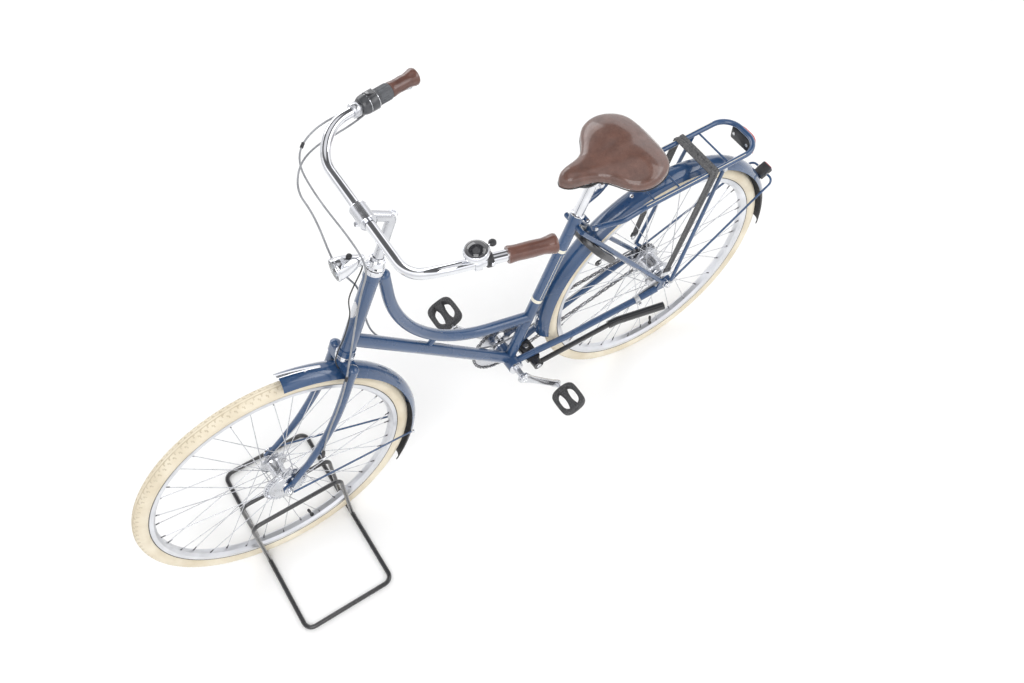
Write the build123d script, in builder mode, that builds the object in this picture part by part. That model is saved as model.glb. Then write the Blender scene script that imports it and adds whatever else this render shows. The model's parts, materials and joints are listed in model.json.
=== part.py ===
"""City bicycle with a step-through frame, standing in a wheel stand.

Millimetres. X points forward, Y to the left, Z up. The origin lies on the floor, midway
along the bicycle's length. Points are written from the rear axle's place on the floor by
place(), and pieces that turn with the fork are written along the steering axis by steered().
"""
from build123d import *
import math
import os

os.makedirs("parts", exist_ok=True)

# ---------------------------------------------------------------- driving dimensions
# wheels
WHEELBASE = 1118.0
TYRE_RADIUS = 351.0
TYRE_WIDTH = 38.0
BEAD_SINK = 4.0             # how far the tyre's round section is cut by its rim
RIM_RADIUS = TYRE_RADIUS - TYRE_WIDTH + BEAD_SINK
RIM_WIDTH = 25.0
RIM_DEPTH = 16.0
RIM_BASE_HALF = 6.5
RIM_SHOULDER = 6.0          # height of the rim's sloping shoulders
RIM_WALL = 3.0
RIM_WELL = 6.0
SPOKE_COUNT = 36
SPOKE_RADIUS = 1.0
FLANGE_OFFSET = 28.5
FLANGE_THICKNESS = 3.0
FRONT_FLANGE_RADIUS = 34.0
REAR_FLANGE_RADIUS = 42.0
FRONT_SHELL_RADIUS = 21.0
REAR_SHELL_RADIUS = 33.0
FRONT_HUB_LEFT = 33.0       # the hub ends, beside the middle
FRONT_HUB_RIGHT = 44.0
REAR_HUB_LEFT = 40.0
REAR_HUB_RIGHT = 38.0
FRONT_AXLE_RADIUS = 4.9
REAR_AXLE_RADIUS = 4.9

# mudguards
REAR_GUARD_GAP = 24.0       # from the tyre's tread to the mudguard's outside
FRONT_GUARD_GAP = 22.0
GUARD_SIDE_GAP = 9.0        # from the tyre's side to the mudguard's outside
GUARD_DROP = 20.0           # how far the sides reach in from the crown
GUARD_THICKNESS = 1.2
GUARD_HALF_WIDTH = TYRE_WIDTH / 2 + GUARD_SIDE_GAP
REAR_GUARD_RADIUS = TYRE_RADIUS + REAR_GUARD_GAP
FRONT_GUARD_RADIUS = TYRE_RADIUS + FRONT_GUARD_GAP

# steering geometry
HEAD_ANGLE = 65.8
FORK_RAKE = 80.0
CROWN_ROOM = 30.0           # from the front mudguard up to the head tube
HEAD_TUBE_LENGTH = 247.0
HEAD_BOTTOM = FRONT_GUARD_RADIUS + CROWN_ROOM   # along the axis from the axle's foot
HEAD_TOP = HEAD_BOTTOM + HEAD_TUBE_LENGTH
HEAD_TUBE_RADIUS = 18.0
HEAD_TUBE_BORE = 15.0
STEERER_RADIUS = 12.7
CUP_HEIGHT = 12.0
CUP_RADIUS = 21.5

# frame
BB_GAP = 87.0               # from the rear mudguard forward to the bottom bracket
BB_DROP = 61.0              # the bottom bracket, below the axles
BB_X = REAR_GUARD_RADIUS + BB_GAP
BB_Z = TYRE_RADIUS - BB_DROP
BB_WIDTH = 70.0
BB_RADIUS = 20.0
BB_BORE = 16.9
DOWN_TUBE_RADIUS = 15.9
TOP_TUBE_RADIUS = 14.3
SEAT_TUBE_RADIUS = 14.3
SEAT_TUBE_ANGLE = 66.6
SEAT_TUBE_LENGTH = 502.0
SEAT_POST_RADIUS = 12.7
SEAT_POST_RISE = 92.0       # bare post above the seat tube
CHAINSTAY_RADIUS = 9.0
SEATSTAY_RADIUS = 6.5
DROPOUT_INSIDE = 60.0       # half the gap between the rear dropouts
DROPOUT_THICKNESS = 5.0

# fork
BLADE_TOP_RADIUS = 11.5
BLADE_TIP_RADIUS = 6.5
FORK_TIP_INSIDE = 51.5      # half the gap between the fork tips
FORK_TIP_THICKNESS = 5.0

# handlebar
BAR_RADIUS = 11.1
BAR_STRAIGHT_HALF = 172.0
STEM_REACH = 69.3
STEM_RISE = 160.6           # from the head tube up to the bar's height
STEM_TOP = HEAD_TOP + STEM_RISE
GRIP_LENGTH = 95.0
SHORT_GRIP_LENGTH = 68.0    # the right grip, beside the gear shifter
GRIP_RADIUS = 16.5

# drive
CHAIN_PITCH = 12.7
CHAINRING_TEETH = 40
SPROCKET_TEETH = 20
CHAIN_LINE = 45.0
TOOTH_WIDTH = 2.4
CHAIN_GAP = 3.8             # between the two rows of plates
PLATE_THICKNESS = 1.5
PLATE_HALF_HEIGHT = 4.2
CRANK_LENGTH = 170.0
CRANK_ANGLE = 50.6          # right crank above the horizontal, pointing forward
CRANK_INSIDE = 66.5
CRANK_THICKNESS = 13.0
SPINDLE_RADIUS = 8.0
PEDAL_AXLE_RADIUS = 4.9
PEDAL_WIDTH = 82.0
PEDAL_LENGTH = 76.0
PEDAL_THICKNESS = 26.0
PEDAL_TILT = 20.0
PEDAL_SLOT_OFFSET = 18.0
PEDAL_SLOT_WIDTH = 15.0
PEDAL_SLOT_LENGTH = 50.0

# carrier
DECK_GAP = 10.0             # from the rear mudguard up to the middle of the rails
DECK_Z = TYRE_RADIUS + REAR_GUARD_RADIUS + DECK_GAP
DECK_HALF_WIDTH = 62.0
DECK_REAR_X = -240.0
RAIL_RADIUS = 7.0

# wheel stand
STAND_TUBE_RADIUS = 6.0
STAND_LENGTH = 256.0
STAND_WIDTH = 524.0
STAND_BEHIND = 5.0          # the stand's middle, behind the front axle
HOOP_HEIGHT = 222.0
HOOP_SIDE_GAP = 14.0        # from the tyre's side to the middle of a hoop
HOOP_OFFSET = TYRE_WIDTH / 2 + HOOP_SIDE_GAP
HOOP_RADIUS = 5.5

# clearances
SEAM = 0.1                  # between two pieces of one body that are welded or pressed
SEAT_GAP = 0.3              # between a piece and the curved seat it is bolted to
RUNNING_GAP = 0.1           # between a turning piece and what carries it

# ---------------------------------------------------------------- derived places
FLAP_THICKNESS = 2.5
FLAP_RADIUS = REAR_GUARD_RADIUS - GUARD_THICKNESS - SEAM
REAR_AXLE_X = (FLAP_RADIUS - (WHEELBASE + TYRE_RADIUS)) / 2
SIN_HEAD = math.sin(math.radians(HEAD_ANGLE))
COS_HEAD = math.cos(math.radians(HEAD_ANGLE))
CHAINRING_RADIUS = CHAINRING_TEETH * CHAIN_PITCH / (2 * math.pi)
SPROCKET_RADIUS = SPROCKET_TEETH * CHAIN_PITCH / (2 * math.pi)
CRANK_OUTSIDE = CRANK_INSIDE + CRANK_THICKNESS
DROPOUT_CENTRE = DROPOUT_INSIDE + DROPOUT_THICKNESS / 2
DROPOUT_OUTSIDE = DROPOUT_INSIDE + DROPOUT_THICKNESS
FORK_TIP_OUTSIDE = FORK_TIP_INSIDE + FORK_TIP_THICKNESS
SPOKE_INSIDE = FLANGE_THICKNESS / 2 + SPOKE_RADIUS + SEAM
SPOKE_OUTSIDE = SPOKE_INSIDE + 1.9


def place(x, y, z):
    """A point given from the rear axle's place on the floor."""
    return Vector(REAR_AXLE_X + x, y, z)


FRONT_AXLE = place(WHEELBASE, 0, TYRE_RADIUS)
REAR_AXLE = place(0, 0, TYRE_RADIUS)
BOTTOM_BRACKET = place(BB_X, 0, BB_Z)
STEER_UP = Vector(-COS_HEAD, 0, SIN_HEAD)
STEER_FORWARD = Vector(SIN_HEAD, 0, COS_HEAD)
STEER_FOOT = FRONT_AXLE - STEER_FORWARD * FORK_RAKE


def steered(forward, side, up):
    """A point given ahead of, beside and along the steering axis."""
    return STEER_FOOT + STEER_FORWARD * forward + Vector(0, side, 0) + STEER_UP * up


def steer_plane(up=0.0, forward=0.0, side=0.0):
    """A plane square to the steering axis, its X pointing forward."""
    return Plane(origin=steered(forward, side, up), x_dir=STEER_FORWARD, z_dir=STEER_UP)


def side_plane(centre, side=0.0, angle=0.0):
    """An upright plane that faces right, its X turned up from forward by angle."""
    turn = math.radians(angle)
    origin = centre + Vector(0, side, 0)
    return Plane(origin=origin, x_dir=(math.cos(turn), 0, math.sin(turn)), z_dir=(0, -1, 0))


def radial_plane(centre, angle):
    """A plane that holds the wheel's axle, X outward at angle, Y to the left."""
    turn = math.radians(angle)
    return Plane(
        origin=centre,
        x_dir=(math.cos(turn), 0, math.sin(turn)),
        z_dir=(-math.sin(turn), 0, math.cos(turn)),
    )


def axle_line(centre):
    return Axis(centre, (0, -1, 0))


def mirrored(points):
    """The same points on the right side."""
    return [Vector(p.X, -p.Y, p.Z) for p in points]


def rod(points, radius, bends=None, mode=Mode.ADD):
    """A round bar along straight runs, joined by tangent arcs where bends are given."""
    with BuildLine() as route:
        if bends is None:
            Polyline(*points)
        else:
            FilletPolyline(*points, radius=bends)
    with BuildSketch(Plane(origin=route.line @ 0, z_dir=route.line % 0)) as section:
        Circle(radius)
    sweep(section.sketch, path=route.line, mode=mode)


def cross_bar(centre, inside, outside, radius, mode=Mode.ADD):
    """A round bar parallel to the axles, from one side coordinate to another."""
    rod([centre + Vector(0, inside, 0), centre + Vector(0, outside, 0)], radius, mode=mode)


def tapered(stations, mode=Mode.ADD):
    """A round bar whose radius changes: stations are (centre, direction, radius)."""
    sections = []
    for centre, direction, radius in stations:
        with BuildSketch(Plane(origin=centre, z_dir=direction)) as section:
            Circle(radius)
        sections.append(section.sketch)
    loft(sections, mode=mode)


def ring(centre, angle, span, half_width, drop, outer_radius, thickness):
    """A mudguard: a crowned strip turned about an axle from angle through span."""
    with BuildSketch(radial_plane(centre, angle)) as section:
        with BuildLine():
            edge = outer_radius - drop
            outer = ThreePointArc((edge, -half_width), (outer_radius, 0), (edge, half_width))
            inside = half_width - thickness
            Line(outer @ 1, (edge, inside))
            inner = ThreePointArc((edge, inside), (outer_radius - thickness, 0), (edge, -inside))
            Line(inner @ 1, outer @ 0)
        make_face()
    revolve(section.sketch, axis=axle_line(centre), revolution_arc=span)


def save(node, name):
    node.part.label = name
    export_step(node.part, f"parts/{name}.step")


# ---------------------------------------------------------------- wheels
def make_tyre(name, centre):
    tyre_core = TYRE_RADIUS - TYRE_WIDTH / 2
    with BuildPart() as tyre:
        with BuildSketch(radial_plane(centre, 90)) as section:
            with Locations((tyre_core, 0)):
                Circle(TYRE_WIDTH / 2)
            with Locations((RIM_RADIUS + SEAM, 0)):
                Rectangle(TYRE_WIDTH, TYRE_WIDTH, align=(Align.MAX, Align.CENTER), mode=Mode.SUBTRACT)
        revolve(section.sketch, axis=axle_line(centre))
    save(tyre, name)


def make_rim(name, centre):
    half = RIM_WIDTH / 2
    shoulder = RIM_RADIUS - RIM_DEPTH + RIM_SHOULDER
    with BuildPart() as rim:
        with BuildSketch(radial_plane(centre, 90)) as section:
            with BuildLine():
                Polyline(
                    (RIM_RADIUS, -half),
                    (shoulder, -half),
                    (RIM_RADIUS - RIM_DEPTH, -RIM_BASE_HALF),
                    (RIM_RADIUS - RIM_DEPTH, RIM_BASE_HALF),
                    (shoulder, half),
                    (RIM_RADIUS, half),
                    (RIM_RADIUS, half - RIM_WALL),
                    (RIM_RADIUS - RIM_WELL, half - RIM_WALL),
                    (RIM_RADIUS - RIM_WELL, RIM_WALL - half),
                    (RIM_RADIUS, RIM_WALL - half),
                    close=True,
                )
            make_face()
        revolve(section.sketch, axis=axle_line(centre))
    save(rim, name)


def make_spokes(name, centre, flange_radius):
    """Crossed spokes: on each flange every other spoke leads and the rest trail."""
    per_side = SPOKE_COUNT // 2
    step = 360 / per_side
    hole_radius = flange_radius - 3.0
    rim_radius = RIM_RADIUS - RIM_DEPTH - 0.3
    crossing = 3 * step
    with BuildPart() as spokes:
        for side in (1, -1):
            shift = 0 if side > 0 else step / 2
            for index in range(per_side):
                lead = 1 if index % 2 else -1
                rim_angle = math.radians(index * step + shift)
                hub_angle = math.radians(index * step + shift + lead * crossing)
                beside = SPOKE_OUTSIDE if lead > 0 else -SPOKE_INSIDE
                flange_y = side * (FLANGE_OFFSET + beside)
                hub_end = centre + Vector(
                    hole_radius * math.cos(hub_angle), flange_y, hole_radius * math.sin(hub_angle)
                )
                rim_end = centre + Vector(
                    rim_radius * math.cos(rim_angle), side * 4.0, rim_radius * math.sin(rim_angle)
                )
                rod([hub_end, rim_end], SPOKE_RADIUS)
    save(spokes, name)


def make_hub(name, centre, shell_radius, flange_radius, left_end, right_end, bore):
    """A hub shell with two flanges; its ends are side coordinates left and right."""
    with BuildPart() as hub:
        cross_bar(centre, -right_end, left_end, shell_radius)
        for side in (1, -1):
            inside = side * (FLANGE_OFFSET - FLANGE_THICKNESS / 2)
            outside = side * (FLANGE_OFFSET + FLANGE_THICKNESS / 2)
            cross_bar(centre, inside, outside, flange_radius)
        cross_bar(centre, -right_end - 1, left_end + 1, bore, mode=Mode.SUBTRACT)
    save(hub, name)


make_tyre("front_tyre", FRONT_AXLE)
make_tyre("rear_tyre", REAR_AXLE)
make_rim("front_rim", FRONT_AXLE)
make_rim("rear_rim", REAR_AXLE)
make_spokes("front_spokes", FRONT_AXLE, FRONT_FLANGE_RADIUS)
make_spokes("rear_spokes", REAR_AXLE, REAR_FLANGE_RADIUS)
make_hub(
    "front_hub",
    FRONT_AXLE,
    FRONT_SHELL_RADIUS,
    FRONT_FLANGE_RADIUS,
    FRONT_HUB_LEFT,
    FRONT_HUB_RIGHT,
    FRONT_AXLE_RADIUS + RUNNING_GAP,
)
make_hub(
    "rear_hub",
    REAR_AXLE,
    REAR_SHELL_RADIUS,
    REAR_FLANGE_RADIUS,
    REAR_HUB_LEFT,
    REAR_HUB_RIGHT,
    REAR_AXLE_RADIUS + RUNNING_GAP,
)

# ---------------------------------------------------------------- main tubes
HEAD_LENGTH = HEAD_TOP - HEAD_BOTTOM
LUG_HEIGHT = 16.0
LUG_RADIUS = HEAD_TUBE_RADIUS + 2.0
SEAT_LEAN = math.radians(SEAT_TUBE_ANGLE)
SEAT_DIRECTION = Vector(-math.cos(SEAT_LEAN), 0, math.sin(SEAT_LEAN))
SEAT_TOP = BOTTOM_BRACKET + SEAT_DIRECTION * SEAT_TUBE_LENGTH
DOWN_TUBE_MEET = steered(0, 0, HEAD_BOTTOM + 42)
TOP_TUBE_START = steered(-29, 0, HEAD_TOP - LUG_HEIGHT - 1)
TOP_TUBE_CORNER = TOP_TUBE_START + Vector(-5, 0, -323.7)
TOP_TUBE_END = BOTTOM_BRACKET + SEAT_DIRECTION * 157
TOP_TUBE_BEND = 365.0
TOP_TUBE_ROUTE = [TOP_TUBE_START, TOP_TUBE_CORNER, TOP_TUBE_END]


def head_space(mode=Mode.SUBTRACT):
    """The room that the head tube and its lugs fill, cut out of what meets them."""
    rod([steered(0, 0, HEAD_BOTTOM), steered(0, 0, HEAD_TOP)], HEAD_TUBE_RADIUS + SEAM, mode=mode)
    for foot in (HEAD_BOTTOM, HEAD_TOP - LUG_HEIGHT):
        ends = [steered(0, 0, foot - SEAM), steered(0, 0, foot + LUG_HEIGHT + SEAM)]
        rod(ends, LUG_RADIUS + SEAM, mode=mode)


def bracket_space(mode=Mode.SUBTRACT):
    """The room that the bottom bracket shell fills."""
    half = BB_WIDTH / 2 + SEAM
    cross_bar(BOTTOM_BRACKET, -half, half, BB_RADIUS + SEAM, mode=mode)


def seat_tube_space(mode=Mode.SUBTRACT):
    rod([BOTTOM_BRACKET, SEAT_TOP], SEAT_TUBE_RADIUS + SEAM, mode=mode)


with BuildPart() as head_tube:
    rod([steered(0, 0, HEAD_BOTTOM), steered(0, 0, HEAD_TOP)], HEAD_TUBE_RADIUS)
    for lug_foot in (HEAD_BOTTOM, HEAD_TOP - LUG_HEIGHT):
        rod([steered(0, 0, lug_foot), steered(0, 0, lug_foot + LUG_HEIGHT)], LUG_RADIUS)
    rod([steered(0, 0, HEAD_BOTTOM - 1), steered(0, 0, HEAD_TOP + 1)], HEAD_TUBE_BORE, mode=Mode.SUBTRACT)
save(head_tube, "head_tube")

with BuildPart() as headset_cups:
    for cup_foot in (HEAD_BOTTOM - CUP_HEIGHT - SEAM, HEAD_TOP + SEAM):
        cup_ends = [steered(0, 0, cup_foot), steered(0, 0, cup_foot + CUP_HEIGHT)]
        rod(cup_ends, CUP_RADIUS)
        rod(cup_ends, STEERER_RADIUS + RUNNING_GAP, mode=Mode.SUBTRACT)
save(headset_cups, "headset_cups")

with BuildPart() as top_tube:
    rod(TOP_TUBE_ROUTE, TOP_TUBE_RADIUS, TOP_TUBE_BEND)
    head_space()
    seat_tube_space()
save(top_tube, "top_tube")

DOWN_TUBE_DIRECTION = (DOWN_TUBE_MEET - BOTTOM_BRACKET).normalized()
DOWN_TUBE_NORMAL = Vector(-DOWN_TUBE_DIRECTION.Z, 0, DOWN_TUBE_DIRECTION.X)
LINK_PLACE = 336.0
LINK_REACH = 58.0
LINK_RADIUS = 7.0

with BuildPart() as down_tube:
    link_foot = BOTTOM_BRACKET + DOWN_TUBE_DIRECTION * LINK_PLACE
    rod([link_foot, link_foot + DOWN_TUBE_NORMAL * LINK_REACH], LINK_RADIUS)
    rod(TOP_TUBE_ROUTE, TOP_TUBE_RADIUS + SEAM, TOP_TUBE_BEND, mode=Mode.SUBTRACT)
    rod([BOTTOM_BRACKET, DOWN_TUBE_MEET], DOWN_TUBE_RADIUS)
    head_space()
    bracket_space()
    seat_tube_space()
save(down_tube, "down_tube")

POST_DEPTH = 120.0
COLLAR_HEIGHT = 20.0
COLLAR_RADIUS = SEAT_TUBE_RADIUS + 3.0
COLLAR = [SEAT_TOP - SEAT_DIRECTION * COLLAR_HEIGHT, SEAT_TOP]
CLAMP_BOLT_RADIUS = 6.0
CLAMP_BOLT_REACH = 17.0
with BuildPart() as seat_tube:
    rod([BOTTOM_BRACKET, SEAT_TOP], SEAT_TUBE_RADIUS)
    rod(COLLAR, COLLAR_RADIUS)
    bolt_place = SEAT_TOP - SEAT_DIRECTION * (COLLAR_HEIGHT / 2) - Vector(COLLAR_RADIUS + 2, 0, 8)
    cross_bar(bolt_place, -CLAMP_BOLT_REACH, CLAMP_BOLT_REACH, CLAMP_BOLT_RADIUS)
    bracket_space()
    rod(
        [SEAT_TOP - SEAT_DIRECTION * POST_DEPTH, SEAT_TOP + SEAT_DIRECTION],
        SEAT_POST_RADIUS + SEAM,
        mode=Mode.SUBTRACT,
    )
save(seat_tube, "seat_tube")

with BuildPart() as bottom_bracket_shell:
    cross_bar(BOTTOM_BRACKET, -BB_WIDTH / 2, BB_WIDTH / 2, BB_RADIUS)
    cross_bar(BOTTOM_BRACKET, -BB_WIDTH, BB_WIDTH, BB_BORE, mode=Mode.SUBTRACT)
save(bottom_bracket_shell, "bottom_bracket_shell")

CUP_DEPTH = 14.0
CUP_FLANGE = 5.0
with BuildPart() as bottom_bracket_cups:
    for side in (1, -1):
        face = BB_WIDTH / 2 + SEAM
        cross_bar(BOTTOM_BRACKET, side * (face - CUP_DEPTH), side * (face + CUP_FLANGE), BB_BORE - SEAM)
        cross_bar(BOTTOM_BRACKET, side * face, side * (face + CUP_FLANGE), BB_RADIUS - 1)
    cross_bar(BOTTOM_BRACKET, -BB_WIDTH, BB_WIDTH, SPINDLE_RADIUS + RUNNING_GAP, mode=Mode.SUBTRACT)
save(bottom_bracket_cups, "bottom_bracket_cups")

# ---------------------------------------------------------------- rear triangle
CHAINSTAY_END = place(31, DROPOUT_CENTRE, TYRE_RADIUS - 5)
CHAINSTAY_END_BACK = 70.0   # where the stay bends into its dropout, ahead of the axle
CHAINSTAY_POINTS = [
    place(BB_X - 5, 20, BB_Z + 3),
    place(BB_X - 66, 27, BB_Z + 12),
    place(BB_X - 162, 40, BB_Z + 23),
    place(CHAINSTAY_END_BACK, 61, TYRE_RADIUS - 8),
    CHAINSTAY_END,
]
CHAINSTAY_BENDS = [180, 180, 100]

with BuildPart() as chainstays:
    for points in (CHAINSTAY_POINTS, mirrored(CHAINSTAY_POINTS)):
        rod(points, CHAINSTAY_RADIUS, CHAINSTAY_BENDS)
    bracket_space()
save(chainstays, "chainstays")

SEATSTAY_FOOT = place(19, DROPOUT_CENTRE, TYRE_RADIUS + 23)
SEATSTAY_TOP = SEAT_TOP - SEAT_DIRECTION * 34 + Vector(-5, 32, 0)
SEATSTAY_POINTS = [SEATSTAY_FOOT, SEATSTAY_TOP]

with BuildPart() as seat_stays:
    for points in (SEATSTAY_POINTS, mirrored(SEATSTAY_POINTS)):
        rod(points, SEATSTAY_RADIUS)
    cross_bar(SEATSTAY_TOP, 0, -2 * SEATSTAY_TOP.Y, SEATSTAY_RADIUS)
    seat_tube_space()
    rod(COLLAR, COLLAR_RADIUS + SEAM, mode=Mode.SUBTRACT)
save(seat_stays, "seat_stays")

LEG_FOOT_X = -4.0           # the carrier leg's eye, from the rear axle
LEG_FOOT_RISE = 22.0
with BuildPart() as rear_dropouts:
    for inside in (DROPOUT_INSIDE, -DROPOUT_OUTSIDE):
        with BuildSketch(side_plane(REAR_AXLE, inside + DROPOUT_THICKNESS)) as plate:
            with Locations((0, 0)):
                Circle(16)
            with Locations((20, -5)):
                Circle(10)
            with Locations((12, 14)):
                Circle(8)
            with Locations((LEG_FOOT_X, LEG_FOOT_RISE)):
                Circle(7)
            make_hull()
            Circle(REAR_AXLE_RADIUS + SEAM, mode=Mode.SUBTRACT)
        extrude(plate.sketch, amount=DROPOUT_THICKNESS)
save(rear_dropouts, "rear_dropouts")

NUT_THICKNESS = 8.0
with BuildPart() as rear_axle:
    reach = DROPOUT_OUTSIDE + NUT_THICKNESS + 6
    cross_bar(REAR_AXLE, -reach, reach, REAR_AXLE_RADIUS)
    for side in (1, -1):
        foot = side * (DROPOUT_OUTSIDE + SEAM)
        cross_bar(REAR_AXLE, foot, foot + side * NUT_THICKNESS, 10.0)
save(rear_axle, "rear_axle")

ARM_INSIDE = 50.0
ARM_THICKNESS = 4.0
ARM_REACH = 92.0
ARM_SLOPE = -7.0
CLIP_HALF_LENGTH = 7.0
CLIP_THICKNESS = 2.5
with BuildPart() as coaster_brake_arm:
    with BuildSketch(side_plane(REAR_AXLE, ARM_INSIDE + ARM_THICKNESS, ARM_SLOPE)) as outline:
        Circle(15)
        with Locations((ARM_REACH, 0)):
            Circle(7)
        make_hull()
        Circle(REAR_AXLE_RADIUS + SEAM, mode=Mode.SUBTRACT)
    extrude(outline.sketch, amount=ARM_THICKNESS)
    clip_line = (CHAINSTAY_POINTS[2] - CHAINSTAY_POINTS[3]).normalized()
    clip_centre = CHAINSTAY_POINTS[3] + clip_line * (ARM_REACH - CHAINSTAY_END_BACK)
    clip_ends = [clip_centre - clip_line * CLIP_HALF_LENGTH, clip_centre + clip_line * CLIP_HALF_LENGTH]
    rod(clip_ends, CHAINSTAY_RADIUS + CLIP_THICKNESS)
    rod(CHAINSTAY_POINTS, CHAINSTAY_RADIUS + SEAM, CHAINSTAY_BENDS, mode=Mode.SUBTRACT)
save(coaster_brake_arm, "coaster_brake_arm")

# ---------------------------------------------------------------- rear mudguard
REAR_GUARD_FRONT = -2.0
REAR_GUARD_END = 160.0
REAR_FLAP_FROM = 150.0
REAR_FLAP_TO = 184.0

with BuildPart() as rear_mudguard:
    ring(
        REAR_AXLE,
        REAR_GUARD_FRONT,
        REAR_GUARD_END - REAR_GUARD_FRONT,
        GUARD_HALF_WIDTH,
        GUARD_DROP,
        REAR_GUARD_RADIUS,
        GUARD_THICKNESS,
    )
save(rear_mudguard, "rear_mudguard")

with BuildPart() as rear_mudguard_flap:
    ring(
        REAR_AXLE,
        REAR_FLAP_FROM,
        REAR_FLAP_TO - REAR_FLAP_FROM,
        GUARD_HALF_WIDTH - GUARD_THICKNESS - SEAM,
        GUARD_DROP,
        FLAP_RADIUS,
        FLAP_THICKNESS,
    )
save(rear_mudguard_flap, "rear_mudguard_flap")

STAY_RADIUS = 3.0
STAY_ANGLE = 153.6
STAY_REACH = REAR_GUARD_RADIUS + 18.0
STAY_SIDE = 42.0
STAY_FOOT_SIDE = DROPOUT_OUTSIDE + STAY_RADIUS + SEAM
STAY_BLOCK_HALF_WIDTH = 14.0
STAY_BLOCK_HALF_HEIGHT = 9.0
STAY_DIRECTION = Vector(math.cos(math.radians(STAY_ANGLE)), 0, math.sin(math.radians(STAY_ANGLE)))
STAY_LOOP = REAR_AXLE + STAY_DIRECTION * STAY_REACH
STAY_FOOT = REAR_AXLE + Vector(-15, 0, 5)
with BuildPart() as rear_mudguard_stay:
    stay_half = [STAY_FOOT + Vector(0, STAY_FOOT_SIDE, 0), STAY_LOOP + Vector(0, STAY_SIDE, 0)]
    rod(stay_half + mirrored(stay_half)[::-1], STAY_RADIUS, 18)
    with BuildSketch(radial_plane(REAR_AXLE, STAY_ANGLE)) as stay_block:
        with Locations((STAY_REACH, 0)):
            Rectangle(2 * (STAY_REACH - REAR_GUARD_RADIUS), 2 * STAY_BLOCK_HALF_WIDTH)
    extrude(stay_block.sketch, amount=STAY_BLOCK_HALF_HEIGHT, both=True)
    cross_bar(
        REAR_AXLE, -STAY_SIDE, STAY_SIDE, REAR_GUARD_RADIUS + SEAT_GAP, mode=Mode.SUBTRACT
    )
save(rear_mudguard_stay, "rear_mudguard_stay")

# ---------------------------------------------------------------- carrier
DECK_FRONT = [
    SEAT_TOP + Vector(-22.6, 34, -33.7),
    place(165, 52, DECK_Z - 23),
    place(118, DECK_HALF_WIDTH, DECK_Z),
]
DECK_REAR = [place(DECK_REAR_X, DECK_HALF_WIDTH, DECK_Z)]
DECK_POINTS = DECK_FRONT + DECK_REAR + mirrored(DECK_REAR) + mirrored(DECK_FRONT)[::-1]
DECK_BENDS = [60, 60, 48, 48, 60, 60]
CROSS_BAR_RADIUS = 2.5
CROSS_BAR_X = (-142.0, 6.0, 80.0)

with BuildPart() as carrier_deck:
    rod(DECK_POINTS, RAIL_RADIUS, DECK_BENDS)
    for bar_x in CROSS_BAR_X:
        cross_bar(place(bar_x, 0, DECK_Z), -DECK_HALF_WIDTH, DECK_HALF_WIDTH, CROSS_BAR_RADIUS)
save(carrier_deck, "carrier_deck")

LEG_RADIUS = 5.0
LEG_FOOT_SIDE = DROPOUT_OUTSIDE + 2 * STAY_RADIUS + LEG_RADIUS + 1
LEG_FOOT = REAR_AXLE + Vector(LEG_FOOT_X, 0, LEG_FOOT_RISE)
LEG_TOP_X = -128.0
LEG_POINTS = [
    LEG_FOOT + Vector(0, LEG_FOOT_SIDE, 0),
    place(LEG_TOP_X, DECK_HALF_WIDTH, DECK_Z - RAIL_RADIUS - SEAM),
]
with BuildPart() as carrier_legs:
    for points in (LEG_POINTS, mirrored(LEG_POINTS)):
        rod(points, LEG_RADIUS)
    rod(DECK_POINTS, RAIL_RADIUS + SEAM, DECK_BENDS, mode=Mode.SUBTRACT)
    for side in (1, -1):
        eye_from = side * (DROPOUT_OUTSIDE + SEAM)
        cross_bar(LEG_FOOT, eye_from, side * (LEG_FOOT_SIDE + LEG_RADIUS), LEG_RADIUS)
save(carrier_legs, "carrier_legs")

STRAP_WIDTH = 28.0
STRAP_THICKNESS = 3.0
STRAP_TOP_X = -88.0
STRAP_FOOT = (12.0, TYRE_RADIUS + 73)
STRAP_SIDE = DECK_HALF_WIDTH + RAIL_RADIUS + SEAM
STRAP_Z = DECK_Z + RAIL_RADIUS + SEAM
with BuildPart() as carrier_straps:
    for inside in (STRAP_SIDE, -STRAP_SIDE - STRAP_THICKNESS):
        with BuildSketch(side_plane(place(0, 0, 0), inside + STRAP_THICKNESS)) as band:
            with BuildLine():
                Polyline(
                    (STRAP_TOP_X - STRAP_WIDTH / 2, STRAP_Z + STRAP_THICKNESS),
                    (STRAP_TOP_X + STRAP_WIDTH / 2, STRAP_Z + STRAP_THICKNESS),
                    (STRAP_FOOT[0] + STRAP_WIDTH / 3, STRAP_FOOT[1]),
                    (STRAP_FOOT[0] - STRAP_WIDTH / 3, STRAP_FOOT[1]),
                    close=True,
                )
            make_face()
        extrude(band.sketch, amount=STRAP_THICKNESS)
    with Locations(place(STRAP_TOP_X, 0, STRAP_Z)):
        Box(
            STRAP_WIDTH,
            2 * STRAP_SIDE,
            STRAP_THICKNESS,
            align=(Align.CENTER, Align.CENTER, Align.MIN),
        )
save(carrier_straps, "carrier_straps")

LAMP_WIDTH = 80.0
LAMP_HEIGHT = 40.0
LAMP_DEPTH = 26.0
LAMP_CORNER = 11.0
with BuildPart() as rear_lamp:
    with BuildSketch(Plane.XY.offset(DECK_Z - RAIL_RADIUS - SEAM - LAMP_HEIGHT)) as body_outline:
        with Locations(place(DECK_REAR_X + 8, 0, 0)):
            Rectangle(LAMP_DEPTH, LAMP_WIDTH, align=(Align.MAX, Align.CENTER))
        fillet(body_outline.vertices().group_by(Axis.X)[0], LAMP_CORNER)
    extrude(body_outline.sketch, amount=LAMP_HEIGHT)
save(rear_lamp, "rear_lamp")

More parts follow.
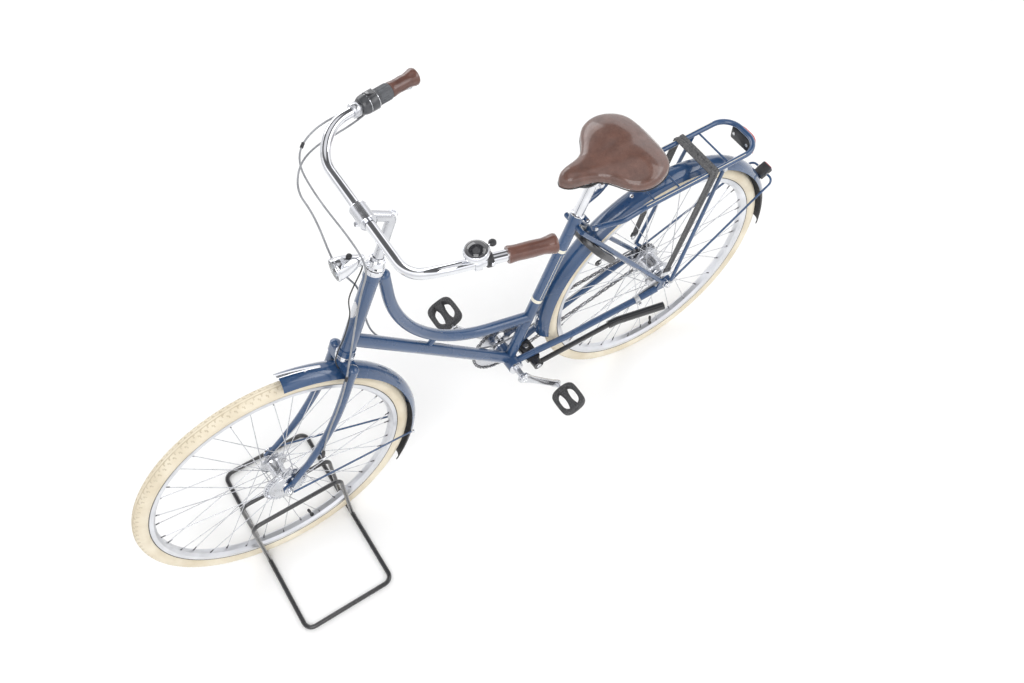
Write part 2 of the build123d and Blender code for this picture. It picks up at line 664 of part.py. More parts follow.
# ---------------------------------------------------------------- saddle
POST_TOP = SEAT_TOP + SEAT_DIRECTION * SEAT_POST_RISE
with BuildPart() as seat_post:
    rod([SEAT_TOP - SEAT_DIRECTION * (POST_DEPTH - 2), POST_TOP], SEAT_POST_RADIUS)
save(seat_post, "seat_post")

SADDLE_Z = POST_TOP.Z + 44.9    # underside of the saddle's cover
SADDLE_HEIGHT = 48.0
SADDLE_CLAMP_RADIUS = 15.0
SADDLE_CLAMP_HALF_WIDTH = 24.0
SADDLE_RAIL_RADIUS = 3.5
SPRING_RADIUS = 14.0
SPRING_SIDE = 62.0
SPRING_BACK = -98.1         # the springs, ahead of the top of the seat post
SPRING_HEIGHT = 40.0
SPRING_FOOT_Z = SADDLE_Z - SPRING_HEIGHT


def saddled(forward, side, z):
    """A point given ahead of and beside the top of the seat post, at a height z."""
    return Vector(POST_TOP.X + forward, side, z)


with BuildPart() as saddle_springs:
    clamp_centre = POST_TOP + SEAT_DIRECTION * (SADDLE_CLAMP_RADIUS + SEAM)
    cross_bar(clamp_centre, -SADDLE_CLAMP_HALF_WIDTH, SADDLE_CLAMP_HALF_WIDTH, SADDLE_CLAMP_RADIUS)
    rail = [
        saddled(65.9, 6, SADDLE_Z - SADDLE_RAIL_RADIUS - SEAM),
        clamp_centre + Vector(16, SADDLE_CLAMP_HALF_WIDTH - 2, 11),
        saddled(-66.1, 24, SPRING_FOOT_Z + 10),
        saddled(SPRING_BACK, SPRING_SIDE, SPRING_FOOT_Z + 6),
    ]
    for points in (rail, mirrored(rail)):
        rod(points, SADDLE_RAIL_RADIUS, 14)
    for side in (1, -1):
        spring_ends = [
            saddled(SPRING_BACK, side * SPRING_SIDE, SPRING_FOOT_Z),
            saddled(SPRING_BACK, side * SPRING_SIDE, SADDLE_Z - SEAM),
        ]
        rod(spring_ends, SPRING_RADIUS)
save(saddle_springs, "saddle_springs")

SADDLE_REAR_CENTRE = -92.1
SADDLE_LOBE_LENGTH = 62.0
SADDLE_LOBE_WIDTH = 112.0
SADDLE_NOSE_CENTRE = 71.9
SADDLE_NOSE_RADIUS = 20.0
SADDLE_EASE = 18.0
with BuildPart() as saddle:
    with BuildSketch(Plane.XY.offset(SADDLE_Z)) as saddle_outline:
        with Locations(saddled(SADDLE_REAR_CENTRE, 0, 0)):
            Ellipse(SADDLE_LOBE_LENGTH, SADDLE_LOBE_WIDTH)
        with Locations(saddled(SADDLE_NOSE_CENTRE, 0, 0)):
            Circle(SADDLE_NOSE_RADIUS)
        make_hull()
    extrude(saddle_outline.sketch, amount=SADDLE_HEIGHT)
    fillet(saddle.faces().sort_by(Axis.Z)[-1].edges(), SADDLE_EASE)
save(saddle, "saddle")

# ---------------------------------------------------------------- ring lock
LOCK_INSIDE = TYRE_WIDTH / 2 + 16
LOCK_OUTSIDE = LOCK_INSIDE + 25
LOCK_THICKNESS = 22.0
LOCK_ARM = 62.0
LOCK_TO_HUB = -1            # the arms point down the stays
SEATSTAY_RUN = Vector(SEATSTAY_TOP.X - SEATSTAY_FOOT.X, 0, SEATSTAY_TOP.Z - SEATSTAY_FOOT.Z)
SEATSTAY_DIRECTION = SEATSTAY_RUN.normalized()
SEATSTAY_NORMAL = Vector(SEATSTAY_DIRECTION.Z, 0, -SEATSTAY_DIRECTION.X)
LOCK_UP = TYRE_RADIUS - TYRE_WIDTH  # the lock's ring centre, up the stays from their foot
LOCK_EASE = 8.0
LOCK_CENTRE = (
    Vector(SEATSTAY_FOOT.X, 0, SEATSTAY_FOOT.Z)
    + SEATSTAY_DIRECTION * LOCK_UP
    + SEATSTAY_NORMAL * (SEATSTAY_RADIUS + SEAM)
)
with BuildPart() as ring_lock:
    lock_plane = Plane(origin=LOCK_CENTRE, x_dir=(0, 1, 0), z_dir=SEATSTAY_NORMAL)
    with BuildSketch(lock_plane) as lock_outline:
        Circle(LOCK_OUTSIDE)
        with Locations((0, LOCK_TO_HUB * LOCK_ARM / 2)):
            Rectangle(2 * LOCK_OUTSIDE, LOCK_ARM)
        Circle(LOCK_INSIDE, mode=Mode.SUBTRACT)
        with Locations((0, LOCK_TO_HUB * LOCK_ARM / 2)):
            Rectangle(2 * LOCK_INSIDE, LOCK_ARM + 2, mode=Mode.SUBTRACT)
        arm_ends = lock_outline.vertices().filter_by(
            lambda v: abs(lock_plane.to_local_coords(v).Y) > LOCK_ARM - 1
        )
        fillet(arm_ends, LOCK_EASE)
    extrude(lock_outline.sketch, amount=LOCK_THICKNESS)
save(ring_lock, "ring_lock")

# ---------------------------------------------------------------- drive
def toothed_outline(teeth, pitch_radius):
    """The outline of a sprocket: four points for each tooth."""
    root = pitch_radius - 3.8
    tip = pitch_radius + 3.2
    points = []
    for tooth in range(teeth):
        for turn, radius in ((-0.30, root), (-0.12, tip), (0.12, tip), (0.30, root)):
            angle = 2 * math.pi * (tooth + turn) / teeth
            points.append((radius * math.cos(angle), radius * math.sin(angle)))
    with BuildLine() as outline:
        Polyline(*points, close=True)
    make_face(outline.edges())


RING_HOLES_AT = CHAINRING_RADIUS * 0.58
RING_HOLE_COUNT = 5
RING_HOLE_RADIUS = 15.0
with BuildPart() as chainring:
    with BuildSketch(side_plane(BOTTOM_BRACKET, -CHAIN_LINE + TOOTH_WIDTH / 2)) as teeth:
        toothed_outline(CHAINRING_TEETH, CHAINRING_RADIUS)
        with PolarLocations(RING_HOLES_AT, RING_HOLE_COUNT, start_angle=18):
            Circle(RING_HOLE_RADIUS, mode=Mode.SUBTRACT)
    extrude(teeth.sketch, amount=TOOTH_WIDTH)
    cross_bar(BOTTOM_BRACKET, -CHAIN_LINE, -CRANK_INSIDE + SEAM, 19.0)
    cross_bar(BOTTOM_BRACKET, -CRANK_OUTSIDE, -CHAIN_LINE + 5, SPINDLE_RADIUS + SEAM, mode=Mode.SUBTRACT)
save(chainring, "chainring")

with BuildPart() as rear_sprocket:
    with BuildSketch(side_plane(REAR_AXLE, -CHAIN_LINE + TOOTH_WIDTH / 2)) as sprocket_teeth:
        toothed_outline(SPROCKET_TEETH, SPROCKET_RADIUS)
    extrude(sprocket_teeth.sketch, amount=TOOTH_WIDTH)
    cross_bar(REAR_AXLE, -CHAIN_LINE - 5, -CHAIN_LINE + 5, 17.0)
    sprocket_bore = REAR_AXLE_RADIUS + RUNNING_GAP
    cross_bar(REAR_AXLE, -CHAIN_LINE - 8, -CHAIN_LINE + 8, sprocket_bore, mode=Mode.SUBTRACT)
save(rear_sprocket, "rear_sprocket")


def crank_end(side):
    """The pedal eye of the left (side 1) or right (side -1) crank."""
    turn = math.radians(CRANK_ANGLE)
    return BOTTOM_BRACKET - Vector(math.cos(turn), 0, math.sin(turn)) * (side * CRANK_LENGTH)


with BuildPart() as crank_arms:
    for side in (1, -1):
        outer_face = CRANK_OUTSIDE if side > 0 else -CRANK_INSIDE
        turn = CRANK_ANGLE + (180 if side > 0 else 0)
        with BuildSketch(side_plane(BOTTOM_BRACKET, outer_face, turn)) as arm:
            Circle(16)
            with Locations((CRANK_LENGTH, 0)):
                Circle(12)
            make_hull()
            Circle(SPINDLE_RADIUS + SEAM, mode=Mode.SUBTRACT)
            with Locations((CRANK_LENGTH, 0)):
                Circle(PEDAL_AXLE_RADIUS + SEAM, mode=Mode.SUBTRACT)
        extrude(arm.sketch, amount=CRANK_THICKNESS)
save(crank_arms, "crank_arms")

PEDAL_INSIDE = CRANK_OUTSIDE + 10
with BuildPart() as crank_axles:
    cross_bar(BOTTOM_BRACKET, -CRANK_OUTSIDE, CRANK_OUTSIDE, SPINDLE_RADIUS)
    for side in (1, -1):
        tip = PEDAL_INSIDE + PEDAL_WIDTH - 6
        cross_bar(crank_end(side), side * (CRANK_INSIDE + 1), side * tip, PEDAL_AXLE_RADIUS)
save(crank_axles, "crank_axles")


def make_pedal(name, side):
    """A platform pedal: a frame round a centre barrel, with two cross webs."""
    far = PEDAL_INSIDE + PEDAL_WIDTH
    outer_face = far if side > 0 else -PEDAL_INSIDE
    with BuildPart() as pedal:
        with BuildSketch(side_plane(crank_end(side), outer_face, -PEDAL_TILT)) as section:
            Rectangle(PEDAL_LENGTH, PEDAL_THICKNESS)
            fillet(section.vertices(), 6)
        extrude(section.sketch, amount=PEDAL_WIDTH)
        well_plane = Plane(
            origin=crank_end(side) + Vector(0, side * (PEDAL_INSIDE + PEDAL_WIDTH / 2), 0),
            x_dir=(math.cos(math.radians(PEDAL_TILT)), 0, -math.sin(math.radians(PEDAL_TILT))),
            z_dir=(math.sin(math.radians(PEDAL_TILT)), 0, math.cos(math.radians(PEDAL_TILT))),
        )
        with BuildSketch(well_plane) as wells:
            for across in (-1, 1):
                with Locations((across * PEDAL_SLOT_OFFSET, 0)):
                    RectangleRounded(PEDAL_SLOT_WIDTH, PEDAL_SLOT_LENGTH, 5)
        extrude(wells.sketch, amount=PEDAL_THICKNESS, both=True, mode=Mode.SUBTRACT)
        bore_from = side * (PEDAL_INSIDE - 1)
        bore_to = side * (far - 4)
        cross_bar(crank_end(side), bore_from, bore_to, PEDAL_AXLE_RADIUS + RUNNING_GAP, mode=Mode.SUBTRACT)
    save(pedal, name)


make_pedal("pedal_left", 1)
make_pedal("pedal_right", -1)


def chain_band(offset):
    """The outline round both sprockets at a distance from the pitch line."""
    with Locations((0, 0)):
        Circle(SPROCKET_RADIUS + offset)
    with Locations((BB_X, BB_Z - TYRE_RADIUS)):
        Circle(CHAINRING_RADIUS + offset)
    make_hull()


with BuildPart() as chain:
    for inner_face in (-CHAIN_LINE + CHAIN_GAP / 2 + PLATE_THICKNESS, -CHAIN_LINE - CHAIN_GAP / 2):
        with BuildSketch(side_plane(REAR_AXLE, inner_face)) as band:
            chain_band(PLATE_HALF_HEIGHT)
        extrude(band.sketch, amount=PLATE_THICKNESS)
        with BuildSketch(side_plane(REAR_AXLE, inner_face)) as hole:
            chain_band(-PLATE_HALF_HEIGHT)
        extrude(hole.sketch, amount=PLATE_THICKNESS, mode=Mode.SUBTRACT)
    centre_line = BOTTOM_BRACKET - REAR_AXLE
    reach = centre_line.length
    lift = math.asin((CHAINRING_RADIUS - SPROCKET_RADIUS) / reach)
    slope = math.atan2(centre_line.Z, centre_line.X)
    run = reach * math.cos(lift)
    for side in (1, -1):
        outward = slope + side * (math.pi / 2 + lift)
        along = slope + side * lift
        start = REAR_AXLE + Vector(math.cos(outward), 0, math.sin(outward)) * SPROCKET_RADIUS
        pin_count = int(run // CHAIN_PITCH) - 3
        for pin in range(2, pin_count):
            spot = start + Vector(math.cos(along), 0, math.sin(along)) * (pin * CHAIN_PITCH)
            half = CHAIN_GAP / 2 + PLATE_THICKNESS
            cross_bar(spot, -CHAIN_LINE - half, -CHAIN_LINE + half, 2.6)
save(chain, "chain")

# ---------------------------------------------------------------- kickstand
PIVOT = BOTTOM_BRACKET + Vector(-57, 50, -9)
LEG_TUBE_RADIUS = 7.0
FOOT_RADIUS = 11.0
HUB_RADIUS = 14.0
FORK_GAP = 0.5
KNUCKLE_HALF = 9.0
KICKSTAND_PLATE_TOP = BB_Z + 5
KICKSTAND_PLATE_THICKNESS = 12.0
KICKSTAND_PIN_RADIUS = 4.0
KICKSTAND_LINE = Vector(PIVOT.X, 0, PIVOT.Z)
with BuildPart() as kickstand_bracket:
    with Locations(place(BB_X - 54, 0, KICKSTAND_PLATE_TOP)):
        Box(38, 76, KICKSTAND_PLATE_THICKNESS, align=(Align.CENTER, Align.CENTER, Align.MAX))
    cross_bar(KICKSTAND_LINE, 22, PIVOT.Y - KNUCKLE_HALF - FORK_GAP, HUB_RADIUS)
    cross_bar(KICKSTAND_LINE, 22, PIVOT.Y + KNUCKLE_HALF, KICKSTAND_PIN_RADIUS)
    for points in (CHAINSTAY_POINTS, mirrored(CHAINSTAY_POINTS)):
        rod(points, CHAINSTAY_RADIUS + SEAT_GAP, CHAINSTAY_BENDS, mode=Mode.SUBTRACT)
save(kickstand_bracket, "kickstand_bracket")

with BuildPart() as kickstand_leg:
    cross_bar(PIVOT, -KNUCKLE_HALF, KNUCKLE_HALF, HUB_RADIUS)
    rod([PIVOT, PIVOT + Vector(-240, 6, 3)], LEG_TUBE_RADIUS)
    foot_points = [
        PIVOT + Vector(-227, 5.7, 3),
        PIVOT + Vector(-255, 8, 4),
        PIVOT + Vector(-385, 42, 13),
    ]
    rod(foot_points, FOOT_RADIUS, 60)
    bore_radius = KICKSTAND_PIN_RADIUS + RUNNING_GAP
    cross_bar(PIVOT, -KNUCKLE_HALF - 1, KNUCKLE_HALF + 1, bore_radius, mode=Mode.SUBTRACT)
save(kickstand_leg, "kickstand_leg")

# ---------------------------------------------------------------- fork
CROWN_TOP = HEAD_BOTTOM - CUP_HEIGHT - 1
CROWN_RADIUS = 19.0
CROWN_HEIGHT = 21.0
CROWN_FOOT = CROWN_TOP - CROWN_HEIGHT
CROWN_BOSS_RADIUS = 13.0
CROWN_BOSS_DEPTH = 14.0
BLADE_SIDE = GUARD_HALF_WIDTH + 13
with BuildPart() as fork_crown:
    with BuildSketch(steer_plane(CROWN_FOOT)) as crown_outline:
        SlotCenterToCenter(2 * BLADE_SIDE, 2 * BLADE_TOP_RADIUS + 4, rotation=90)
        Circle(CROWN_RADIUS)
    extrude(crown_outline.sketch, amount=CROWN_HEIGHT)
    rod([steered(0, 0, CROWN_FOOT - CROWN_BOSS_DEPTH), steered(0, 0, CROWN_FOOT)], CROWN_BOSS_RADIUS)
    rod([steered(0, 0, CROWN_FOOT), steered(0, 0, HEAD_TOP + 36)], STEERER_RADIUS)
    cross_bar(
        FRONT_AXLE, -TYRE_WIDTH, TYRE_WIDTH, FRONT_GUARD_RADIUS + SEAT_GAP, mode=Mode.SUBTRACT
    )
save(fork_crown, "fork_crown")

BLADE_TOP = CROWN_FOOT - SEAM


def blade(side):
    """One fork blade, straight below the crown and curving forward to its tip."""
    straight = Vector(*STEER_UP) * -1
    stations = [
        (steered(0, side * BLADE_SIDE, BLADE_TOP), straight, BLADE_TOP_RADIUS),
        (steered(2, side * (BLADE_SIDE + 4), 270), steered(3, side * 5, 0) - steered(0, 0, 80), 11.0),
        (steered(14, side * (BLADE_SIDE + 8), 180), steered(16, side * 4, 0) - steered(0, 0, 80), 9.5),
        (steered(38, side * 52, 95), steered(36, side * 2, 0) - steered(0, 0, 80), 8.0),
        (steered(70, side * 54, 22), steered(44, 0, 0) - steered(0, 0, 80), BLADE_TIP_RADIUS),
    ]
    tapered(stations)


with BuildPart() as fork_blades:
    blade(1)
    blade(-1)
    for inside in (FORK_TIP_INSIDE, -FORK_TIP_OUTSIDE):
        with BuildSketch(side_plane(FRONT_AXLE, inside + FORK_TIP_THICKNESS)) as tip:
            Circle(12)
            with Locations((-20, 17)):
                Circle(6.5)
            make_hull()
            Circle(FRONT_AXLE_RADIUS + SEAM, mode=Mode.SUBTRACT)
        extrude(tip.sketch, amount=FORK_TIP_THICKNESS)
save(fork_blades, "fork_blades")

with BuildPart() as front_axle:
    reach = FORK_TIP_OUTSIDE + NUT_THICKNESS + 6
    cross_bar(FRONT_AXLE, -reach, reach, FRONT_AXLE_RADIUS)
    for side in (1, -1):
        foot = side * (FORK_TIP_OUTSIDE + SEAM)
        cross_bar(FRONT_AXLE, foot, foot + side * NUT_THICKNESS, 9.5)
save(front_axle, "front_axle")

BRAKE_FROM = 36.0
BRAKE_PLATE_THICKNESS = 5.0
BRAKE_RADIUS = 56.0
BRAKE_ARM_RADIUS = 4.0
BRAKE_ARM_SIDE = BRAKE_FROM + BRAKE_ARM_RADIUS + 0.5
BRAKE_DRUM_RADIUS = 38.0
BRAKE_DRUM_TO = 46.0
BRAKE_CONE_RADIUS = 15.0
BRAKE_ARM_END = FRONT_AXLE + Vector(-103, 0, 72)
BRAKE_BOSS_RADIUS = 5.0
CABLE_END_SIDE = 65.0
with BuildPart() as front_brake:
    cross_bar(FRONT_AXLE, BRAKE_FROM, BRAKE_FROM + BRAKE_PLATE_THICKNESS, BRAKE_RADIUS)
    cross_bar(FRONT_AXLE, BRAKE_FROM, BRAKE_DRUM_TO, BRAKE_DRUM_RADIUS)
    cross_bar(FRONT_AXLE, BRAKE_FROM, FORK_TIP_INSIDE - SEAT_GAP, BRAKE_CONE_RADIUS)
    cross_bar(FRONT_AXLE, 0, FORK_TIP_INSIDE + 1, FRONT_AXLE_RADIUS + SEAM, mode=Mode.SUBTRACT)
    arm_foot = FRONT_AXLE + Vector(-20, BRAKE_ARM_SIDE, 16)
    rod([arm_foot, BRAKE_ARM_END + Vector(0, BRAKE_ARM_SIDE, 0)], BRAKE_ARM_RADIUS)
    cross_bar(BRAKE_ARM_END, BRAKE_ARM_SIDE - BRAKE_BOSS_RADIUS, CABLE_END_SIDE + 4, BRAKE_BOSS_RADIUS)
save(front_brake, "front_brake")

# ---------------------------------------------------------------- front mudguard
FRONT_GUARD_FROM = 102.7
FRONT_GUARD_TO = 199.0
FRONT_FLAP_FROM = 186.0
FRONT_FLAP_TO = 216.0

with BuildPart() as front_mudguard:
    ring(
        FRONT_AXLE,
        FRONT_GUARD_FROM,
        FRONT_GUARD_TO - FRONT_GUARD_FROM,
        GUARD_HALF_WIDTH,
        GUARD_DROP,
        FRONT_GUARD_RADIUS,
        GUARD_THICKNESS,
    )
save(front_mudguard, "front_mudguard")

with BuildPart() as front_mudguard_flap:
    ring(
        FRONT_AXLE,
        FRONT_FLAP_FROM,
        FRONT_FLAP_TO - FRONT_FLAP_FROM,
        GUARD_HALF_WIDTH - GUARD_THICKNESS - SEAM,
        GUARD_DROP,
        FRONT_GUARD_RADIUS - GUARD_THICKNESS - SEAM,
        FLAP_THICKNESS,
    )
save(front_mudguard_flap, "front_mudguard_flap")

FRONT_STAY_RADIUS = 2.5
FRONT_STAY_ANGLE = 196.0
FRONT_STAY_SIDE = GUARD_HALF_WIDTH + FRONT_STAY_RADIUS + SEAM
FRONT_STAY_REACH = FRONT_GUARD_RADIUS - GUARD_DROP + 4
FRONT_STAY_FOOT_SIDE = FORK_TIP_OUTSIDE + NUT_THICKNESS + FRONT_STAY_RADIUS + 1.5
FRONT_STAY_BACK = FRONT_AXLE_RADIUS + FRONT_STAY_RADIUS + SEAT_GAP
with BuildPart() as front_mudguard_stays:
    for side in (1, -1):
        turn = math.radians(FRONT_STAY_ANGLE)
        outward = Vector(math.cos(turn), 0, math.sin(turn)) * FRONT_STAY_REACH
        stay_foot = FRONT_AXLE + Vector(-FRONT_STAY_BACK, side * FRONT_STAY_FOOT_SIDE, 0)
        stay_top = FRONT_AXLE + outward + Vector(0, side * FRONT_STAY_SIDE, 0)
        rod([stay_foot, stay_top], FRONT_STAY_RADIUS)
save(front_mudguard_stays, "front_mudguard_stays")

# ---------------------------------------------------------------- headset, stem and bar
LOCKNUT_RADIUS = 18.0
with BuildPart() as headset_locknut:
    locknut = [steered(0, 0, HEAD_TOP + CUP_HEIGHT + 1), steered(0, 0, HEAD_TOP + 34)]
    rod(locknut, LOCKNUT_RADIUS)
    rod(locknut, STEERER_RADIUS + SEAM, mode=Mode.SUBTRACT)
save(headset_locknut, "headset_locknut")

QUILL_RADIUS = 11.0
STEM_FOOT = HEAD_TOP + 36 + SEAM
BAR_CENTRE = steered(STEM_REACH, 0, STEM_TOP)
BAR_POINTS = [
    BAR_CENTRE + Vector(0, BAR_STRAIGHT_HALF, 0),
    BAR_CENTRE + Vector(-51, 218, 32),
    BAR_CENTRE + Vector(-263, 263, 12),
]
BAR_BENDS = [80, 90]
BAR_ROUTE = mirrored(BAR_POINTS)[::-1] + BAR_POINTS
BAR_ROUTE_BENDS = BAR_BENDS[::-1] + BAR_BENDS
STEM_BARREL_RADIUS = 18.0
STEM_BARREL_HALF = 22.0

with BuildPart() as stem:
    rod([steered(0, 0, STEM_FOOT), steered(0, 0, STEM_TOP - 14), BAR_CENTRE], QUILL_RADIUS, 14)
    cross_bar(BAR_CENTRE, -STEM_BARREL_HALF, STEM_BARREL_HALF, STEM_BARREL_RADIUS)
    rod(BAR_ROUTE, BAR_RADIUS + SEAM, BAR_ROUTE_BENDS, mode=Mode.SUBTRACT)
save(stem, "stem")

with BuildPart() as handlebar:
    rod(BAR_ROUTE, BAR_RADIUS, BAR_ROUTE_BENDS)
save(handlebar, "handlebar")

GRIP_DIRECTION = (BAR_POINTS[2] - BAR_POINTS[1]).normalized()
BAR_END = BAR_POINTS[2]


def along_grip(distance, side=1):
    """A point on the bar, measured in from its end."""
    point = BAR_END - GRIP_DIRECTION * distance
    return Vector(point.X, side * point.Y, point.Z)


with BuildPart() as grips:
    for side, length in ((1, GRIP_LENGTH), (-1, SHORT_GRIP_LENGTH)):
        rod([along_grip(length, side), along_grip(-4, side)], GRIP_RADIUS)
        rod([along_grip(22, side), along_grip(-4, side)], GRIP_RADIUS + 2.5)
        grip_bore = [along_grip(length + 1, side), along_grip(-SEAM, side)]
        rod(grip_bore, BAR_RADIUS + SEAM, mode=Mode.SUBTRACT)
save(grips, "grips")

SHIFTER_FROM = SHORT_GRIP_LENGTH + 1
SHIFTER_SLEEVE = 34.0
SHIFTER_LENGTH = 78.0
SHIFTER_RADIUS = 22.0
SHIFTER_SLEEVE_RADIUS = 17.5
SHIFTER_SHOULDER = SHIFTER_FROM + SHIFTER_SLEEVE
SHIFTER_TO = SHIFTER_FROM + SHIFTER_LENGTH
with BuildPart() as gear_shifter:
    rod([along_grip(SHIFTER_FROM, -1), along_grip(SHIFTER_SHOULDER, -1)], SHIFTER_SLEEVE_RADIUS)
    rod([along_grip(SHIFTER_SHOULDER, -1), along_grip(SHIFTER_TO, -1)], SHIFTER_RADIUS)
    shifter_bore = [along_grip(SHIFTER_FROM - 1, -1), along_grip(SHIFTER_TO + 1, -1)]
    rod(shifter_bore, BAR_RADIUS + SEAM, mode=Mode.SUBTRACT)
save(gear_shifter, "gear_shifter")

LEVER_AT = SHIFTER_TO + 12
LEVER_CLAMP_RADIUS = 16.0
LEVER_CLAMP_HALF = 8.0
LEVER_RADIUS = 5.0
LEVER_PERCH_RADIUS = 6.5
LEVER_PERCH = along_grip(LEVER_AT, -1) + Vector(5, -18, -17)
LEVER_NOSE = Vector(26, 4, 8)
with BuildPart() as brake_lever:
    lever_clamp = [along_grip(LEVER_AT - LEVER_CLAMP_HALF, -1), along_grip(LEVER_AT + LEVER_CLAMP_HALF, -1)]
    rod(lever_clamp, LEVER_CLAMP_RADIUS)
    rod([along_grip(LEVER_AT, -1), LEVER_PERCH], LEVER_PERCH_RADIUS)
    rod([LEVER_PERCH, LEVER_PERCH + LEVER_NOSE], LEVER_PERCH_RADIUS)
    lever_points = [
        LEVER_PERCH,
        along_grip(LEVER_AT - 45, -1) + Vector(-13, -27, -31),
        along_grip(22, -1) + Vector(-16, -19, -38),
    ]
    rod(lever_points, LEVER_RADIUS, 22)
    clamp_bore = [along_grip(LEVER_AT - 30, -1), along_grip(LEVER_AT + 30, -1)]
    rod(clamp_bore, BAR_RADIUS + SEAM, mode=Mode.SUBTRACT)
save(brake_lever, "brake_lever")

BELL_AT = 153.0
BELL_RADIUS = 25.0
BELL_HEIGHT = 22.0
BELL_RIM = 6.0
BELL_RAISE = 16.0
BELL_CLAMP_HALF = 7.0
BELL_CLAMP_RADIUS = BAR_RADIUS + 4
BELL_STEM_RADIUS = 6.0
DOME_RISE = BELL_HEIGHT - BELL_RIM
DOME_SPHERE = (BELL_RADIUS**2 + DOME_RISE**2) / (2 * DOME_RISE)
DOME_HALF_ANGLE = math.asin(BELL_RADIUS / DOME_SPHERE) / 2
DOME_MIDDLE = (
    DOME_SPHERE * math.sin(DOME_HALF_ANGLE),
    BELL_HEIGHT - DOME_SPHERE * (1 - math.cos(DOME_HALF_ANGLE)),
)
with BuildPart() as bell:
    bell_foot = along_grip(BELL_AT) + Vector(0, 0, BAR_RADIUS + BELL_RAISE)
    with BuildSketch(Plane(origin=bell_foot, x_dir=(1, 0, 0), z_dir=(0, -1, 0))) as dome:
        with BuildLine():
            flat = Line((0, 0), (BELL_RADIUS, 0))
            rise = Line(flat @ 1, (BELL_RADIUS, BELL_RIM))
            crown = ThreePointArc(rise @ 1, DOME_MIDDLE, (0, BELL_HEIGHT))
            Line(crown @ 1, (0, 0))
        make_face()
    revolve(dome.sketch, axis=Axis(bell_foot, (0, 0, 1)))
    bell_clamp = [along_grip(BELL_AT - BELL_CLAMP_HALF), along_grip(BELL_AT + BELL_CLAMP_HALF)]
    rod(bell_clamp, BELL_CLAMP_RADIUS)
    rod([along_grip(BELL_AT), bell_foot + Vector(0, 0, BELL_RIM / 2)], BELL_STEM_RADIUS)
    rod([along_grip(BELL_AT - 20), along_grip(BELL_AT + 20)], BAR_RADIUS + SEAM, mode=Mode.SUBTRACT)
save(bell, "bell")

# ---------------------------------------------------------------- head lamp
LAMP_CENTRE = steered(67, 0, HEAD_TOP + 34)
LAMP_RADIUS = 25.0
LAMP_LENGTH = 68.0
LAMP_TAIL_RADIUS = 6.0
LAMP_TILT = -2.0
LAMP_AXIS = Vector(math.cos(math.radians(LAMP_TILT)), 0, -math.sin(math.radians(LAMP_TILT)))
LENS = LAMP_CENTRE + LAMP_AXIS * (LAMP_LENGTH / 2)
LAMP_WAIST = LAMP_LENGTH * 0.7


def lamp_shape(gap, mode=Mode.ADD):
    """The lamp's bowl from its lens back to its tail, grown by a gap."""
    back = LAMP_AXIS * -1
    tapered(
        [
            (LENS, back, LAMP_RADIUS + gap),
            (LENS + back * (LAMP_LENGTH * 0.3), back, LAMP_RADIUS * 0.95 + gap),
            (LENS + back * LAMP_WAIST, back, LAMP_RADIUS * 0.66 + gap),
            (LENS + back * (LAMP_LENGTH + gap), back, LAMP_TAIL_RADIUS + gap),
        ],
        mode=mode,
    )


with BuildPart() as head_lamp:
    lamp_shape(0.0)
save(head_lamp, "head_lamp")

LAMP_ARM_RADIUS = 4.5
with BuildPart() as lamp_bracket:
    lamp_arm = [
        steered(0, 0, HEAD_TOP + 20),
        steered(31, 0, HEAD_TOP + 26),
        LENS - LAMP_AXIS * LAMP_WAIST,
    ]
    rod(lamp_arm, LAMP_ARM_RADIUS, 8)
    rod([steered(0, 0, HEAD_TOP), steered(0, 0, STEM_FOOT)], LOCKNUT_RADIUS + SEAM, mode=Mode.SUBTRACT)
    lamp_shape(SEAT_GAP, mode=Mode.SUBTRACT)
save(lamp_bracket, "lamp_bracket")

# ---------------------------------------------------------------- cables
CABLE_RADIUS = 2.5
BRAKE_CABLE_POINTS = [
    LEVER_PERCH + LEVER_NOSE * 1.04,
    BAR_CENTRE + Vector(-18, -226, 36),
    BAR_CENTRE + Vector(50, -184, 24),
    BAR_CENTRE + Vector(52, -100, -10),
    BAR_CENTRE + Vector(28, -8, -76),
    BAR_CENTRE + Vector(22, 28, -128),
    steered(40, 31, HEAD_TOP - 30),
    steered(17, 33, HEAD_BOTTOM + 52),
    steered(21, CABLE_END_SIDE, HEAD_BOTTOM - 73),
    steered(31, CABLE_END_SIDE, 180),
    BRAKE_ARM_END + Vector(1, CABLE_END_SIDE, BRAKE_BOSS_RADIUS + 1.2),
]
BRAKE_CABLE_BENDS = [24, 24, 40, 30, 30, 60, 60, 60, 60]
with BuildPart() as brake_cable:
    rod(BRAKE_CABLE_POINTS, CABLE_RADIUS, BRAKE_CABLE_BENDS)
save(brake_cable, "brake_cable")

CABLE_SPLIT = steered(36, -27, HEAD_TOP - 38)
CABLE_SPLIT_RUN = Vector(-0.35, 0, -0.94).normalized()
GEAR_CABLE_START = along_grip(SHIFTER_TO - 12, -1) + Vector(0, 0, -SHIFTER_RADIUS - 2.4)
with BuildPart() as gear_cable_loop:
    rod(
        [
            GEAR_CABLE_START,
            GEAR_CABLE_START + Vector(26, -6, -20),
            BAR_CENTRE + Vector(24, -204, 4),
            BAR_CENTRE + Vector(80, -132, 0),
            BAR_CENTRE + Vector(70, -78, -32),
            CABLE_SPLIT - CABLE_SPLIT_RUN * 60,
            CABLE_SPLIT,
        ],
        CABLE_RADIUS,
        [14, 30, 24, 40, 30],
    )
save(gear_cable_loop, "gear_cable_loop")

